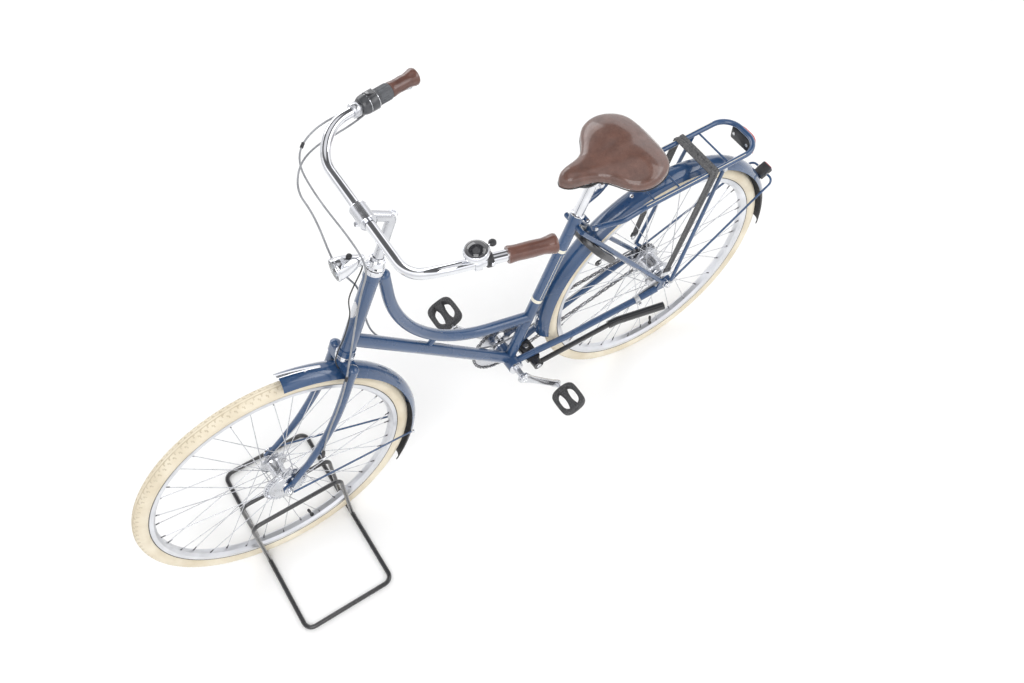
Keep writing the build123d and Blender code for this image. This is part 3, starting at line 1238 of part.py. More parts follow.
CABLE_SIDE = DOWN_TUBE_RADIUS + CABLE_RADIUS + SEAT_GAP
AXLE_END_SIDE = DROPOUT_OUTSIDE + NUT_THICKNESS + CABLE_RADIUS + 0.5
with BuildPart() as gear_cable_run:
    rod(
        [
            CABLE_SPLIT + CABLE_SPLIT_RUN * SEAM,
            CABLE_SPLIT + CABLE_SPLIT_RUN * 60,
            BOTTOM_BRACKET + DOWN_TUBE_DIRECTION * 520 - Vector(0, CABLE_SIDE, 0),
            BOTTOM_BRACKET + DOWN_TUBE_DIRECTION * 110 - Vector(0, CABLE_SIDE, 0),
            BOTTOM_BRACKET + Vector(-8, -31, BB_RADIUS + CABLE_RADIUS + 4),
            place(BB_X - 162, -40, BB_Z + 23 + CHAINSTAY_RADIUS + CABLE_RADIUS + 1),
            place(96, -60, TYRE_RADIUS + 5),
            place(42, -AXLE_END_SIDE, TYRE_RADIUS + 6),
            REAR_AXLE + Vector(REAR_AXLE_RADIUS + SEAT_GAP, -AXLE_END_SIDE, 0),
        ],
        CABLE_RADIUS,
        [40, 60, 60, 30, 60, 24, 24],
    )
save(gear_cable_run, "gear_cable_run")

# ---------------------------------------------------------------- wheel stand
STAND_HALF = STAND_LENGTH / 2 - STAND_TUBE_RADIUS
STAND_HALF_WIDTH = STAND_WIDTH / 2 - STAND_TUBE_RADIUS
STAND_X = WHEELBASE - STAND_BEHIND
STAND_CORNERS = [
    (-STAND_HALF, 0),
    (-STAND_HALF, STAND_HALF_WIDTH),
    (STAND_HALF, STAND_HALF_WIDTH),
    (STAND_HALF, 0),
]
with BuildPart() as wheel_stand:
    left_half = [place(STAND_X + x, y, STAND_TUBE_RADIUS) for x, y in STAND_CORNERS]
    rod(left_half, STAND_TUBE_RADIUS, 22)
    rod(mirrored(left_half), STAND_TUBE_RADIUS, 22)
    for side in (1, -1):
        hoop = [
            place(STAND_X - STAND_HALF, side * HOOP_OFFSET, STAND_TUBE_RADIUS),
            place(STAND_X - STAND_HALF, side * HOOP_OFFSET, HOOP_HEIGHT - HOOP_RADIUS),
            place(STAND_X + STAND_HALF, side * HOOP_OFFSET, HOOP_HEIGHT - HOOP_RADIUS),
            place(STAND_X + STAND_HALF, side * HOOP_OFFSET, STAND_TUBE_RADIUS),
        ]
        rod(hoop, HOOP_RADIUS, 20)
save(wheel_stand, "wheel_stand")
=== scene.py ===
import json
import math

import bmesh
import bpy
from mathutils import Matrix, Vector


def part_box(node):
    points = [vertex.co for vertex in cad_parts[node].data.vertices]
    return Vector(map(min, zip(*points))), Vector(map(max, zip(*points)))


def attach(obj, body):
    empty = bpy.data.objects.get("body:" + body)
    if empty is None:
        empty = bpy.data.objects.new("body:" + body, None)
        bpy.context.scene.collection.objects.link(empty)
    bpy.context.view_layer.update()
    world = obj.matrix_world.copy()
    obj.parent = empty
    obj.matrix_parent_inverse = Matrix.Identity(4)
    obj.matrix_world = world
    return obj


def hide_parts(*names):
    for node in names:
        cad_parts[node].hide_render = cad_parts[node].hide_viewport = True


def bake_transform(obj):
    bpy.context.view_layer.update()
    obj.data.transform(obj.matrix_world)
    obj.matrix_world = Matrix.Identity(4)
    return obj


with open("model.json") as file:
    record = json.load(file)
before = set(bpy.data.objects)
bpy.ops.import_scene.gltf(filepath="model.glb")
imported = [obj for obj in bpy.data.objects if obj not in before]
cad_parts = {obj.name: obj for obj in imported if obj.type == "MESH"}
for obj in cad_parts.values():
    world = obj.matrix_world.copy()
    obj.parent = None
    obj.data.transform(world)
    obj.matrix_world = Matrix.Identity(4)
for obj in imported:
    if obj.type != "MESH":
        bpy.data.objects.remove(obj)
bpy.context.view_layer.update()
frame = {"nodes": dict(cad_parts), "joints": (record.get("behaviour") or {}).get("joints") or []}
MM = 0.001
UP = Vector((0, 0, 1))
AXLE = Vector((0, 1, 0))
AHEAD = Vector((1, 0, 0))


def joint_place(name):
    """A joint's point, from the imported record."""
    return next(Vector(j["pos_m"]) for j in frame["joints"] if j["name"] == name)


REAR = joint_place("rear_wheel_spin")
FRONT = joint_place("front_wheel_spin")
CRANK = joint_place("crank_spin")
STEER_FOOT = joint_place("steering_turn")
STEER_UP = next(Vector(j["axis"]) for j in frame["joints"] if j["name"] == "steering_turn").normalized()
STEER_FORWARD = Vector((STEER_UP.z, 0, -STEER_UP.x))
SEAT_ANGLE = math.radians(66.6)
SEAT_RUN = Vector((-math.cos(SEAT_ANGLE), 0, math.sin(SEAT_ANGLE)))
SEAT_TUBE = 502.0
POST_OUT = 92.0
CLAMP_ABOVE_POST = 15.1
HEAD_BOTTOM_UP = 403.0
HEAD_TOP_UP = 650.0
CUP_UP = 12.0
LUG_UP = 16.0
LOCKNUT_UP = 662.0
BAR_FORWARD = 69.3
BAR_UP = 810.6


def radial(turn):
    """A unit vector in the wheels' plane, turned up from straight ahead."""
    return Vector((math.cos(turn), 0, math.sin(turn)))


def swung(first, second, turn):
    """The first vector turned that far toward the second, on a circle or an ellipse."""
    return first * math.cos(turn) + second * math.sin(turn)


def squared(part, power):
    """A sine or cosine that gives a squarer outline, the more so the lower the power."""
    return math.copysign(abs(part) ** power, part)


def mirrored(*half):
    """A profile that runs on past its middle with the same points in reverse."""
    return [*half, *((-along, radius) for along, radius in reversed(half) if along)]


def offset(x, y, z):
    """A step in millimetres ahead, to the left and up."""
    return Vector((x, y, z)) * MM


def up_seat(distance):
    """A point that far up the seat tube's line from the crank's axis, in millimetres."""
    return CRANK + SEAT_RUN * (distance * MM)


def place(x, y, z):
    """A point in millimetres from the rear axle's place on the floor."""
    return Vector((REAR.x + x * MM, y * MM, z * MM))


def steered(forward, side, up):
    """A point in millimetres ahead of, beside and along the steering axis."""
    return STEER_FOOT + STEER_FORWARD * (forward * MM) + AXLE * (side * MM) + STEER_UP * (up * MM)


# ---------------------------------------------------------------- camera
FOCAL_PX = 1030.1
FRAME_WIDTH = 1024
SHIFT_X_PX = 10.87
SHIFT_Y_PX = -10.50
YAW = math.radians(-122.64)
PITCH = math.radians(56.89)
ROLL = math.radians(-0.446)
CAMERA_PLACE = Vector((REAR.x + 1.1997, 1.2225, 2.6076))
camera_data = bpy.data.cameras.new("camera")
camera = bpy.data.objects.new("camera", camera_data)
bpy.context.scene.collection.objects.link(camera)
look = Vector((math.cos(PITCH) * math.cos(YAW), math.cos(PITCH) * math.sin(YAW), -math.sin(PITCH)))
level_right = Vector((math.sin(YAW), -math.cos(YAW), 0))
if level_right.cross(look).z < 0:
    level_right = level_right * -1
level_up = level_right.cross(look)
right = swung(level_right, level_up, ROLL)
above = level_up * math.cos(ROLL) - level_right * math.sin(ROLL)
camera.matrix_world = Matrix((
    (right.x, above.x, -look.x, CAMERA_PLACE.x),
    (right.y, above.y, -look.y, CAMERA_PLACE.y),
    (right.z, above.z, -look.z, CAMERA_PLACE.z),
    (0, 0, 0, 1),
))
camera_data.sensor_width = 36.0
camera_data.lens = FOCAL_PX / FRAME_WIDTH * camera_data.sensor_width
camera_data.shift_x = -SHIFT_X_PX / FRAME_WIDTH
camera_data.shift_y = SHIFT_Y_PX / FRAME_WIDTH
bpy.context.scene.camera = camera


# ---------------------------------------------------------------- materials
def feed(tree, node, inputs):
    """Sets a node's inputs, each to a number or linked to another node's output."""
    for key, value in inputs.items():
        if isinstance(value, bpy.types.NodeSocket):
            tree.links.new(value, node.inputs[key])
        else:
            node.inputs[key].default_value = value


def add_node(tree, kind, inputs, **settings):
    """A new node in a shader tree, with its settings and inputs."""
    node = tree.nodes.new(kind)
    for key, value in settings.items():
        setattr(node, key, value)
    feed(tree, node, inputs)
    return node


class Look:
    """A procedural material: a Principled shader fed by noise in object coordinates."""

    def __init__(self, name, colour, metallic=0.0, roughness=0.5, coat=0.0, coat_roughness=0.05):
        self.material = bpy.data.materials.new(name)
        self.material.use_nodes = True
        self.tree = self.material.node_tree
        self.shader = self.tree.nodes["Principled BSDF"]
        feed(self.tree, self.shader, {
            "Base Color": (*colour, 1), "Metallic": metallic, "Roughness": roughness, "Coat Weight": coat,
            "Coat Roughness": coat_roughness,
        })
        self.coords = self.tree.nodes.new("ShaderNodeTexCoord").outputs["Object"]
        self.normal = None
        self.colour_out = None

    def node(self, kind, inputs, **settings):
        """A new node in this look's shader."""
        return add_node(self.tree, kind, inputs, **settings)

    def noise(self, scale, detail=3.0, roughness=0.55, stretch=None):
        """A cloudy value; stretch scales the coordinates along each axis."""
        source = self.coords
        if stretch:
            source = self.node("ShaderNodeMapping", {"Scale": stretch, "Vector": source}).outputs["Vector"]
        settings = {"Scale": scale, "Detail": detail, "Roughness": roughness, "Vector": source}
        return self.node("ShaderNodeTexNoise", settings).outputs["Fac"]

    def cells(self, scale, feature="F1"):
        """A value that goes by the distance in a pattern of cells."""
        settings = {"Scale": scale, "Vector": self.coords}
        return self.node("ShaderNodeTexVoronoi", settings, feature=feature).outputs["Distance"]

    def ramp(self, value, low, high, start=0.3, end=0.7):
        """A value from low to high as the input goes from start to end."""
        return self.node("ShaderNodeMapRange", {
            "Value": value, "From Min": start, "From Max": end, "To Min": low, "To Max": high,
        }).outputs["Result"]

    def colour(self, output):
        """Takes an output as the base colour."""
        self.colour_out = output
        feed(self.tree, self.shader, {"Base Color": output})

    def tint(self, value, dark, light, start=0.3, end=0.7):
        """The base colour from dark to light as the input goes from start to end."""
        ramp = self.node("ShaderNodeValToRGB", {"Fac": value})
        for stop, at, shade in zip(ramp.color_ramp.elements, (start, end), (dark, light)):
            stop.position = at
            stop.color = (*shade, 1)
        self.colour(ramp.outputs["Color"])

    def over(self, value, colour):
        """Another colour laid over the tint where the value is 1."""
        mix_inputs = {0: value, 6: self.colour_out, 7: (*colour, 1)}
        self.colour(self.node("ShaderNodeMix", mix_inputs, data_type="RGBA").outputs[2])

    def rough(self, value, low, high):
        """The roughness from low to high with the value."""
        feed(self.tree, self.shader, {"Roughness": self.ramp(value, low, high)})

    def bump(self, value, depth, strength=1.0):
        """A bump of that depth in millimetres, on top of any bump before it."""
        inputs = {"Strength": strength, "Distance": depth * MM, "Height": value}
        if self.normal is not None:
            inputs["Normal"] = self.normal
        self.normal = self.node("ShaderNodeBump", inputs).outputs["Normal"]
        feed(self.tree, self.shader, {"Normal": self.normal})


def painted(name, colour, dark, light):
    """Glossy enamel: a clear coat over a faintly uneven base."""
    look = Look(name, colour, roughness=0.28, coat=1.0, coat_roughness=0.03)
    look.tint(look.noise(6.0, 2.0), dark, light)
    look.rough(look.noise(14.0, 2.0), 0.24, 0.32)
    look.bump(look.noise(26.0, 1.0), 0.03, 0.08)
    return look


def mottled(name, colour, roughness, grain, dark, light, noise_bump=None, cell_bump=None, coat=0.0):
    """A look mottled between two shades; a bump is its pattern's numbers, then a depth and a strength."""
    look = Look(name, colour, roughness=roughness, coat=coat)
    look.tint(look.noise(*grain), dark, light)
    if noise_bump:
        look.bump(look.noise(*noise_bump[:2]), *noise_bump[2:])
    if cell_bump:
        look.bump(look.cells(cell_bump[0]), *cell_bump[1:])
    return look


BLUE = painted("blue_enamel", (0.020, 0.064, 0.160), (0.017, 0.056, 0.143), (0.023, 0.072, 0.177))
# Cream paint for the seat tube's bands and lines; along the carrier rails the same colour is a painted
# highlight.
CREAM_LINE_AND_HIGHLIGHT = mottled(
    "cream_line_and_highlight", (0.83, 0.79, 0.66), 0.3, (160.0, 3.0), (0.76, 0.71, 0.58), (0.88, 0.85, 0.74), coat=0.6
)
BLACK_PAINT = painted("black_enamel", (0.014, 0.014, 0.016), (0.009, 0.009, 0.011), (0.021, 0.021, 0.024))


def polished(name, colour, low, high, grain=900.0):
    """Bare metal: a cloudy colour, an uneven shine and a fine grain where one is given."""
    look = Look(name, colour, metallic=1.0, roughness=low)
    pale = tuple(min(1.0, c * 1.06) for c in colour)
    dull = tuple(c * 0.9 for c in colour)
    look.tint(look.noise(18.0, 2.0), dull, pale)
    look.rough(look.noise(30.0, 3.0), low, high)
    if grain:
        look.bump(look.noise(grain, 2.0), 0.006, 0.1)
    return look


CHROME = polished("chrome", (0.80, 0.81, 0.84), 0.03, 0.09)
ALLOY = polished("alloy", (0.66, 0.67, 0.70), 0.16, 0.3, 1400.0)
RIM_ALLOY = polished("rim_alloy", (0.74, 0.75, 0.78), 0.3, 0.36, None)
STEEL = polished("steel", (0.62, 0.63, 0.66), 0.18, 0.36)
ZINC = polished("zinc", (0.66, 0.67, 0.68), 0.28, 0.5)
DARK_STEEL = polished("dark_steel", (0.16, 0.16, 0.17), 0.3, 0.5)
REFLECTOR = polished("reflector", (0.34, 0.35, 0.37), 0.06, 0.12, None)

TYRE = Look("cream_rubber", (0.80, 0.72, 0.56), roughness=0.72)
TYRE.tint(TYRE.noise(14.0, 6.0), (0.66, 0.57, 0.42), (0.84, 0.77, 0.63), 0.25, 0.7)
TYRE.rough(TYRE.noise(90.0, 4.0), 0.62, 0.85)
TYRE.bump(TYRE.noise(700.0, 3.0), 0.12, 0.5)
# The darker cream of the tread's grooves is painted shade, standing in for the shadow in the cuts.
GROOVE_SHADE = mottled(
    "tread_groove_shade", (0.60, 0.51, 0.37), 0.8, (60.0, 5.0), (0.52, 0.44, 0.31), (0.68, 0.60, 0.46),
    noise_bump=(900.0, 2.0, 0.08, 0.5)
)
BEAD = mottled(
    "dark_bead", (0.05, 0.048, 0.045), 0.7, (200.0, 3.0), (0.03, 0.03, 0.03), (0.09, 0.085, 0.08),
    noise_bump=(900.0, 2.0, 0.05, 0.4)
)

RUBBER = mottled(
    "black_rubber", (0.03, 0.03, 0.033), 0.55, (40.0, 5.0), (0.022, 0.022, 0.024), (0.05, 0.05, 0.054)
)
RUBBER.rough(RUBBER.noise(120.0, 4.0), 0.5, 0.75)
RUBBER.bump(RUBBER.noise(1100.0, 3.0), 0.08, 0.5)
WEB = mottled(
    "strap_rubber", (0.026, 0.026, 0.028), 0.68, (260.0, 5.0), (0.028, 0.028, 0.03), (0.15, 0.15, 0.155),
    cell_bump=(1300.0, 0.14, 0.7)
)
GRIT = Look("pedal_rubber", (0.05, 0.05, 0.053), roughness=0.75)
GRIT.tint(GRIT.noise(520.0, 4.0, 0.7), (0.024, 0.024, 0.026), (0.15, 0.15, 0.155), 0.42, 0.66)
GRIT.bump(GRIT.cells(900.0), 0.3, 0.7)
PLASTIC = mottled(
    "black_plastic", (0.02, 0.02, 0.022), 0.42, (60.0, 4.0), (0.016, 0.016, 0.018), (0.036, 0.036, 0.04)
)
PLASTIC.rough(PLASTIC.noise(200.0, 4.0), 0.32, 0.52)
PLASTIC.bump(PLASTIC.cells(1500.0), 0.05, 0.5)
LOCK_SHELL = mottled(
    "lock_shell", (0.03, 0.03, 0.033), 0.24, (50.0, 3.0), (0.022, 0.022, 0.024), (0.05, 0.05, 0.054), coat=0.5
)
GREY = mottled(
    "grey_plastic", (0.30, 0.31, 0.33), 0.4, (80.0, 3.0), (0.25, 0.26, 0.28), (0.36, 0.37, 0.39),
    cell_bump=(1300.0, 0.05, 0.4)
)
HOUSING = mottled(
    "cable_housing", (0.26, 0.27, 0.29), 0.34, (40.0, 3.0), (0.20, 0.205, 0.22), (0.33, 0.34, 0.36),
    noise_bump=(600.0, 2.0, 0.04, 0.4), coat=0.4
)
WIRE = mottled("black_wire", (0.02, 0.02, 0.02), 0.5, (200.0, 2.0), (0.015, 0.015, 0.015), (0.04, 0.04, 0.04))


def leather(name, dark, light, grain, depth):
    """Tanned hide: pebble cells, fine creases and a mottled colour."""
    look = Look(name, light, roughness=0.4, coat=0.9, coat_roughness=0.1)
    look.tint(look.noise(26.0, 8.0, 0.62), dark, light, 0.28, 0.68)
    creases = look.cells(grain, "DISTANCE_TO_EDGE")
    look.over(look.ramp(creases, 0.55, 0.0, 0.0, 0.22), tuple(c * 0.45 for c in dark))
    look.rough(look.noise(90.0, 6.0), 0.32, 0.55)
    look.bump(look.ramp(creases, 0.0, 1.0, 0.0, 0.3), depth, 0.6)
    look.bump(look.noise(grain * 0.35, 6.0), depth, 0.5)
    return look


SADDLE_HIDE = leather("saddle_leather", (0.094, 0.040, 0.028), (0.205, 0.094, 0.068), 620.0, 0.1)
GRIP_HIDE = leather("grip_leather", (0.09, 0.03, 0.02), (0.18, 0.068, 0.045), 900.0, 0.08)
THREAD = mottled(
    "thread", (0.42, 0.25, 0.15), 0.7, (900.0, 2.0), (0.32, 0.18, 0.10), (0.52, 0.33, 0.2),
    noise_bump=(2200.0, 2.0, 0.1, 0.6)
)
RED_LENS = mottled(
    "red_lens", (0.55, 0.012, 0.016), 0.12, (70.0, 2.0), (0.42, 0.008, 0.01), (0.66, 0.02, 0.024),
    cell_bump=(420.0, 0.35, 0.8), coat=1.0
)
GLASS = Look("lamp_glass", (0.80, 0.83, 0.85), roughness=0.03)
feed(GLASS.tree, GLASS.shader, {"Transmission Weight": 0.96, "IOR": 1.46})
GLASS.bump(GLASS.noise(160.0, 1.0, stretch=(1, 6, 1)), 0.3, 0.6)
WINDOW = mottled(
    "dark_window", (0.02, 0.02, 0.023), 0.05, (300.0, 1.0), (0.012, 0.012, 0.014), (0.035, 0.035, 0.04),
    coat=1.0
)
SHIFT_BODY = mottled(
    "shifter_body", (0.05, 0.052, 0.058), 0.3, (90.0, 3.0), (0.038, 0.04, 0.045), (0.066, 0.068, 0.075),
    noise_bump=(900.0, 2.0, 0.03, 0.3), coat=0.3
)
SLEEVE = mottled(
    "grey_sleeve", (0.10, 0.105, 0.115), 0.5, (120.0, 4.0), (0.08, 0.084, 0.092), (0.13, 0.135, 0.147),
    noise_bump=(900.0, 2.0, 0.06, 0.4)
)


# ---------------------------------------------------------------- mesh building
def basis(direction):
    """Two unit vectors square to a direction."""
    direction = direction.normalized()
    helper = AXLE if abs(direction.dot(AXLE)) < 0.9 else UP
    first = direction.cross(helper).normalized()
    return first, direction.cross(first).normalized()


class Shape:
    """Collects faces for one piece, with a material index for each."""

    def __init__(self):
        self.points = []
        self.faces = []
        self.slots = []

    def grid(self, rows, slot=0, wrap_rows=False, wrap_columns=True, caps=False):
        """Quads between equal rows of points, joined round each row where asked."""
        start = len(self.points)
        width = len(rows[0])
        for row in rows:
            self.points.extend(row)
        row_count = len(rows)
        for a in range(row_count if wrap_rows else row_count - 1):
            this = start + a * width
            following = start + (a + 1) % row_count * width
            for c in range(width if wrap_columns else width - 1):
                d = (c + 1) % width
                self.faces.append((this + c, this + d, following + d, following + c))
                self.slots.append(slot)
        if caps:
            self.faces.append(tuple(start + c for c in reversed(range(width))))
            self.faces.append(tuple(start + (row_count - 1) * width + c for c in range(width)))
            self.slots.extend((slot, slot))

    def lathe(self, centre, axis, profile, count=48, slot=0):
        """A profile of (along, radius) in millimetres, turned about an axis."""
        axis = axis.normalized()
        first, second = basis(axis)
        rows = []
        for step in range(count):
            out = swung(first, second, math.tau * step / count)
            rows.append([centre + axis * (along * MM) + out * (radius * MM) for along, radius in profile])
        self.grid(rows, slot, wrap_rows=True, wrap_columns=False)

    def tube(self, path, radius, count=12, slot=0, closed=False, flat=1.0, normal=None):
        """A tube along points; radius is one number or one a point, flat squeezes it."""
        radii = radius if isinstance(radius, (list, tuple)) else [radius] * len(path)
        rows = []
        last = normal
        total = len(path)
        for index, point in enumerate(path):
            if closed:
                run = path[(index + 1) % total] - path[index - 1]
            else:
                run = path[min(index + 1, total - 1)] - path[max(index - 1, 0)]
            run = run.normalized()
            if last is None:
                last = basis(run)[0]
            first = (last - run * last.dot(run)).normalized()
            second = run.cross(first)
            last = first
            wide, deep = first * (radii[index] * MM), second * (radii[index] * MM * flat)
            rows.append([point + swung(wide, deep, math.tau * k / count) for k in range(count)])
        self.grid(rows, slot, wrap_rows=closed, caps=not closed)

    def block(self, centre, x_dir, y_dir, size, bevel=1.0, slot=0, steps=3):
        """A box with rounded upright edges and eased rims; size is in millimetres."""
        x_dir = x_dir.normalized()
        y_dir = (y_dir - x_dir * y_dir.dot(x_dir)).normalized()
        z_dir = x_dir.cross(y_dir)
        half_x, half_y, half_z = (s / 2 for s in size)
        bevel = min(bevel, half_x * 0.98, half_y * 0.98, half_z * 0.98)
        rows = []
        turns = (math.pi / 6, math.pi / 3, math.pi / 2)
        eased = [(-half_z + bevel * (1 - math.cos(a)), bevel * (1 - math.sin(a))) for a in turns]
        stations = [(-half_z, bevel), *eased]
        stations += [(-z, inset) for z, inset in reversed(stations)]
        for z, inset in stations:
            row = []
            for corner, (sign_x, sign_y) in enumerate(((1, 1), (-1, 1), (-1, -1), (1, -1))):
                for step in range(steps + 1):
                    turn = math.pi / 2 * (corner + step / steps)
                    x = sign_x * (half_x - bevel) + (bevel - inset) * math.cos(turn)
                    y = sign_y * (half_y - bevel) + (bevel - inset) * math.sin(turn)
                    row.append(centre + x_dir * (x * MM) + y_dir * (y * MM) + z_dir * (z * MM))
            rows.append(row)
        self.grid(rows, slot, caps=True)

    def plate(self, outline, thickness, normal):
        """A flat plate: an outline of points, thickened both ways along a normal."""
        shift = normal.normalized() * (thickness * MM / 2)
        edge = 0.12
        centre = sum(outline, Vector()) / len(outline)
        inner = [p + (centre - p).normalized() * (thickness * edge * MM) for p in outline]
        rows = [
            [p - shift for p in inner], [p - shift * 0.8 for p in outline],
            [p + shift * 0.8 for p in outline], [p + shift for p in inner]
        ]
        self.grid(rows, caps=True)

    def make(self, name, body, looks, replaces=(), slot=None, sharp=40.0):
        """The finished piece, riding on its body."""
        mesh = bpy.data.meshes.new(name)
        mesh.from_pydata([tuple(p) for p in self.points], [], self.faces)
        mesh.validate()
        for look in looks:
            mesh.materials.append(look.material)
        for polygon, index in zip(mesh.polygons, self.slots):
            polygon.material_index = index
            polygon.use_smooth = True
        mesh.update()
        piece = bpy.data.objects.new(name, mesh)
        bpy.context.scene.collection.objects.link(piece)
        fix_normals(mesh)
        mesh.set_sharp_from_angle(angle=math.radians(sharp))
        if body:
            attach(piece, body)
        if replaces:
            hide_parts(*replaces)
        return piece


def fix_normals(mesh):
    """Turns every closed shell's faces outward."""
    work = bmesh.new()
    work.from_mesh(mesh)
    bmesh.ops.recalc_face_normals(work, faces=work.faces)
    work.to_mesh(mesh)
    work.free()


def smooth_path(points, steps=10):
    """A flowing line through points (Catmull-Rom)."""
    made = []
    for index in range(len(points) - 1):
        a, b, c = points[max(index - 1, 0)], points[index], points[index + 1]
        d = points[min(index + 2, len(points) - 1)]
        for t in (step / steps for step in range(steps)):
            bend = (2 * a - 5 * b + 4 * c - d) * t**2 + (3 * b - a - 3 * c + d) * t**3
            made.append(0.5 * (2 * b + (c - a) * t + bend))
    made.append(points[-1])
    return made


def hex_nut(shape, centre, axis, across, height, slot=0):
    """A hexagon nut or bolt head with eased corners, standing on its foot."""
    axis = axis.normalized()
    first, second = basis(axis)
    corner = across / 2 / math.cos(math.pi / 6)
    ease = across * 0.06
    levels = ((0, corner - ease), (ease, corner), (height - ease, corner), (height, corner - ease))
    outs = [swung(first, second, math.tau * k / 6) for k in range(6)]
    rows = [[centre + axis * (up * MM) + out * (reach * MM) for out in outs] for up, reach in levels]
    shape.grid(rows, slot, caps=True)


def dress(look, *nodes):
    """Gives CAD nodes a material of their own."""
    for name in nodes:
        node = frame["nodes"][name]
        node.data.materials.clear()
        node.data.materials.append(look.material)


# ---------------------------------------------------------------- CAD nodes that stay
dress(
    BLUE, "head_tube", "top_tube", "down_tube", "seat_tube", "bottom_bracket_shell", "chainstays",
    "rear_dropouts", "seat_stays", "rear_mudguard", "rear_mudguard_stay", "carrier_deck", "carrier_legs",
    "fork_crown", "fork_blades", "front_mudguard", "front_mudguard_stays",
)
dress(CHROME, "headset_cups", "handlebar", "seat_post", "lamp_bracket", "bottom_bracket_cups")
dress(ALLOY, "stem")
dress(RIM_ALLOY, "front_rim", "rear_rim")
dress(STEEL, "front_spokes", "rear_spokes", "chainring", "rear_sprocket", "crank_axles")
dress(ZINC, "coaster_brake_arm")
dress(RUBBER, "rear_mudguard_flap", "front_mudguard_flap")
dress(BLACK_PAINT, "kickstand_leg", "kickstand_bracket", "wheel_stand")

# ---------------------------------------------------------------- tyres
TYRE_CORE = 332.0
TYRE_HALF = 19.0
TYRE_FOOT = 317.2
TREAD_ARC = math.radians(58)


def tread_height(across, turn, blocks):
    """How far the tread stands out, in millimetres: ribs with slanted cuts between them."""
    reach = abs(across) / TREAD_ARC
    if reach > 1:
        return 0.0
    height = 0.9
    if 0.14 < reach < 0.22 or 0.50 < reach < 0.58:
        height = 0.0
    slant = turn * blocks / math.tau + (0.35 * reach if reach < 0.5 else -0.6 * reach)
    phase = slant % 1.0
    if reach > 0.22 and phase < 0.2:
        height *= 0.15
    return height * min(1.0, (1 - reach) * 8)


def make_tyre(name, centre, body, node):
    """A cream tyre: an open carcass with a cut tread whose groove faces carry a darker painted shade, and a
    dark bead line a side.
    """
    shape = Shape()
    around = 720
    blocks = 120
    low = math.acos(-(TYRE_CORE - TYRE_FOOT) / TYRE_HALF)
    across_count = 46
    rows = []
    for step in range(around):
        turn = math.tau * step / around
        out = radial(turn)
        row = []
        for k in range(across_count + 1):
            across = -low + 2 * low * k / across_count
            reach = TYRE_HALF - 0.9 + tread_height(across, turn, blocks)
            if abs(across) > TREAD_ARC * 1.15:
                reach += 0.35 * (1 if 0 < (abs(across) - TREAD_ARC * 1.3) < 0.07 else 0)
            radius = TYRE_CORE + reach * math.cos(across)
            row.append(centre + out * (radius * MM) + AXLE * (reach * math.sin(across) * MM))
        rows.append(row)
    shape.grid(rows, wrap_rows=True, wrap_columns=False)
    # Groove faces take the darker colour: painted shade in the tread's cuts.
    for step in range(around):
        turn = math.tau * (step + 0.5) / around
        for k in range(across_count):
            across = -low + 2 * low * (k + 0.5) / across_count
            if abs(across) < TREAD_ARC * 0.96 and tread_height(across, turn, blocks) < 0.35:
                shape.slots[step * across_count + k] = 2
    for side in (1, -1):
        edge = (TYRE_HALF - 0.9) * math.sin(low)
        shape.lathe(
            centre, AXLE * side,
            [
                (edge - 2.2, TYRE_FOOT + 0.3), (edge + 0.2, TYRE_FOOT + 0.3), (edge + 0.9, TYRE_FOOT + 0.9),
                (edge + 1.3, TYRE_FOOT + 2.0), (edge + 0.6, TYRE_FOOT + 2.8)
            ],
            count=180, slot=1
        )
    shape.make(name, body, [TYRE, BEAD, GROOVE_SHADE], [node], "cream_tyre", sharp=70)


make_tyre("front_tyre_tread", FRONT, "front_wheel", "front_tyre")
make_tyre("rear_tyre_tread", REAR, "rear_wheel", "rear_tyre")

# ---------------------------------------------------------------- rims, nipples and valves
SPOKES_A_SIDE = 18
SPOKE_STEP = 360 / SPOKES_A_SIDE
RIM_INSIDE = 301.0


def make_nipples(name, centre, body):
    """A nipple at each spoke's end in the rim, and a capped valve."""
    shape = Shape()
    for side in (1, -1):
        for index in range(SPOKES_A_SIDE):
            turn = math.radians(index * SPOKE_STEP + (0 if side > 0 else SPOKE_STEP / 2))
            out = radial(turn)
            foot = centre + out * ((RIM_INSIDE + 1) * MM) + AXLE * (side * 3.6 * MM)
            inward = -out + AXLE * (side * 0.08)
            shape.lathe(
                foot, inward, [(-1, 0.2), (-1, 2.6), (1.0, 2.4), (1.6, 1.7), (11.0, 1.5), (12.4, 1.05)],
                count=10
            )
    valve = math.radians(-96)
    out = radial(valve)
    foot = centre + out * (RIM_INSIDE * MM)
    shape.lathe(
        foot, -out,
        [(-1, 5.5), (2, 5.2), (2.4, 3.2), (22, 3.0), (22.5, 3.9), (34, 3.7), (36, 2.4), (36.2, 0)], count=20,
        slot=1
    )
    shape.make(name, body, [DARK_STEEL, RUBBER], slot="steel")


make_nipples("front_nipples", FRONT, "front_wheel")
make_nipples("rear_nipples", REAR, "rear_wheel")

# ---------------------------------------------------------------- hubs
HUB_HOLES = 18
HUB_FLANGE_FACE = 30.2


def make_hub(centre, end, profile, count, hole_circle):
    """A hub shell turned from its profile, with a spoke head in each flange hole."""
    shape = Shape()
    shape.lathe(centre, AXLE, profile, count=count)
    for side in (1, -1):
        for index in range(HUB_HOLES):
            turn = math.tau * index / HUB_HOLES + (0 if side > 0 else math.pi / HUB_HOLES)
            out = radial(turn)
            foot = centre + out * (hole_circle * MM) + AXLE * (side * HUB_FLANGE_FACE * MM)
            shape.lathe(foot, AXLE * side, [(0, 1.9), (0.9, 1.7), (1.3, 0.9), (1.35, 0)], count=10, slot=1)
    shape.make(f"{end}_hub_shell", f"{end}_wheel", [ALLOY, STEEL], [f"{end}_hub"], "aluminium")


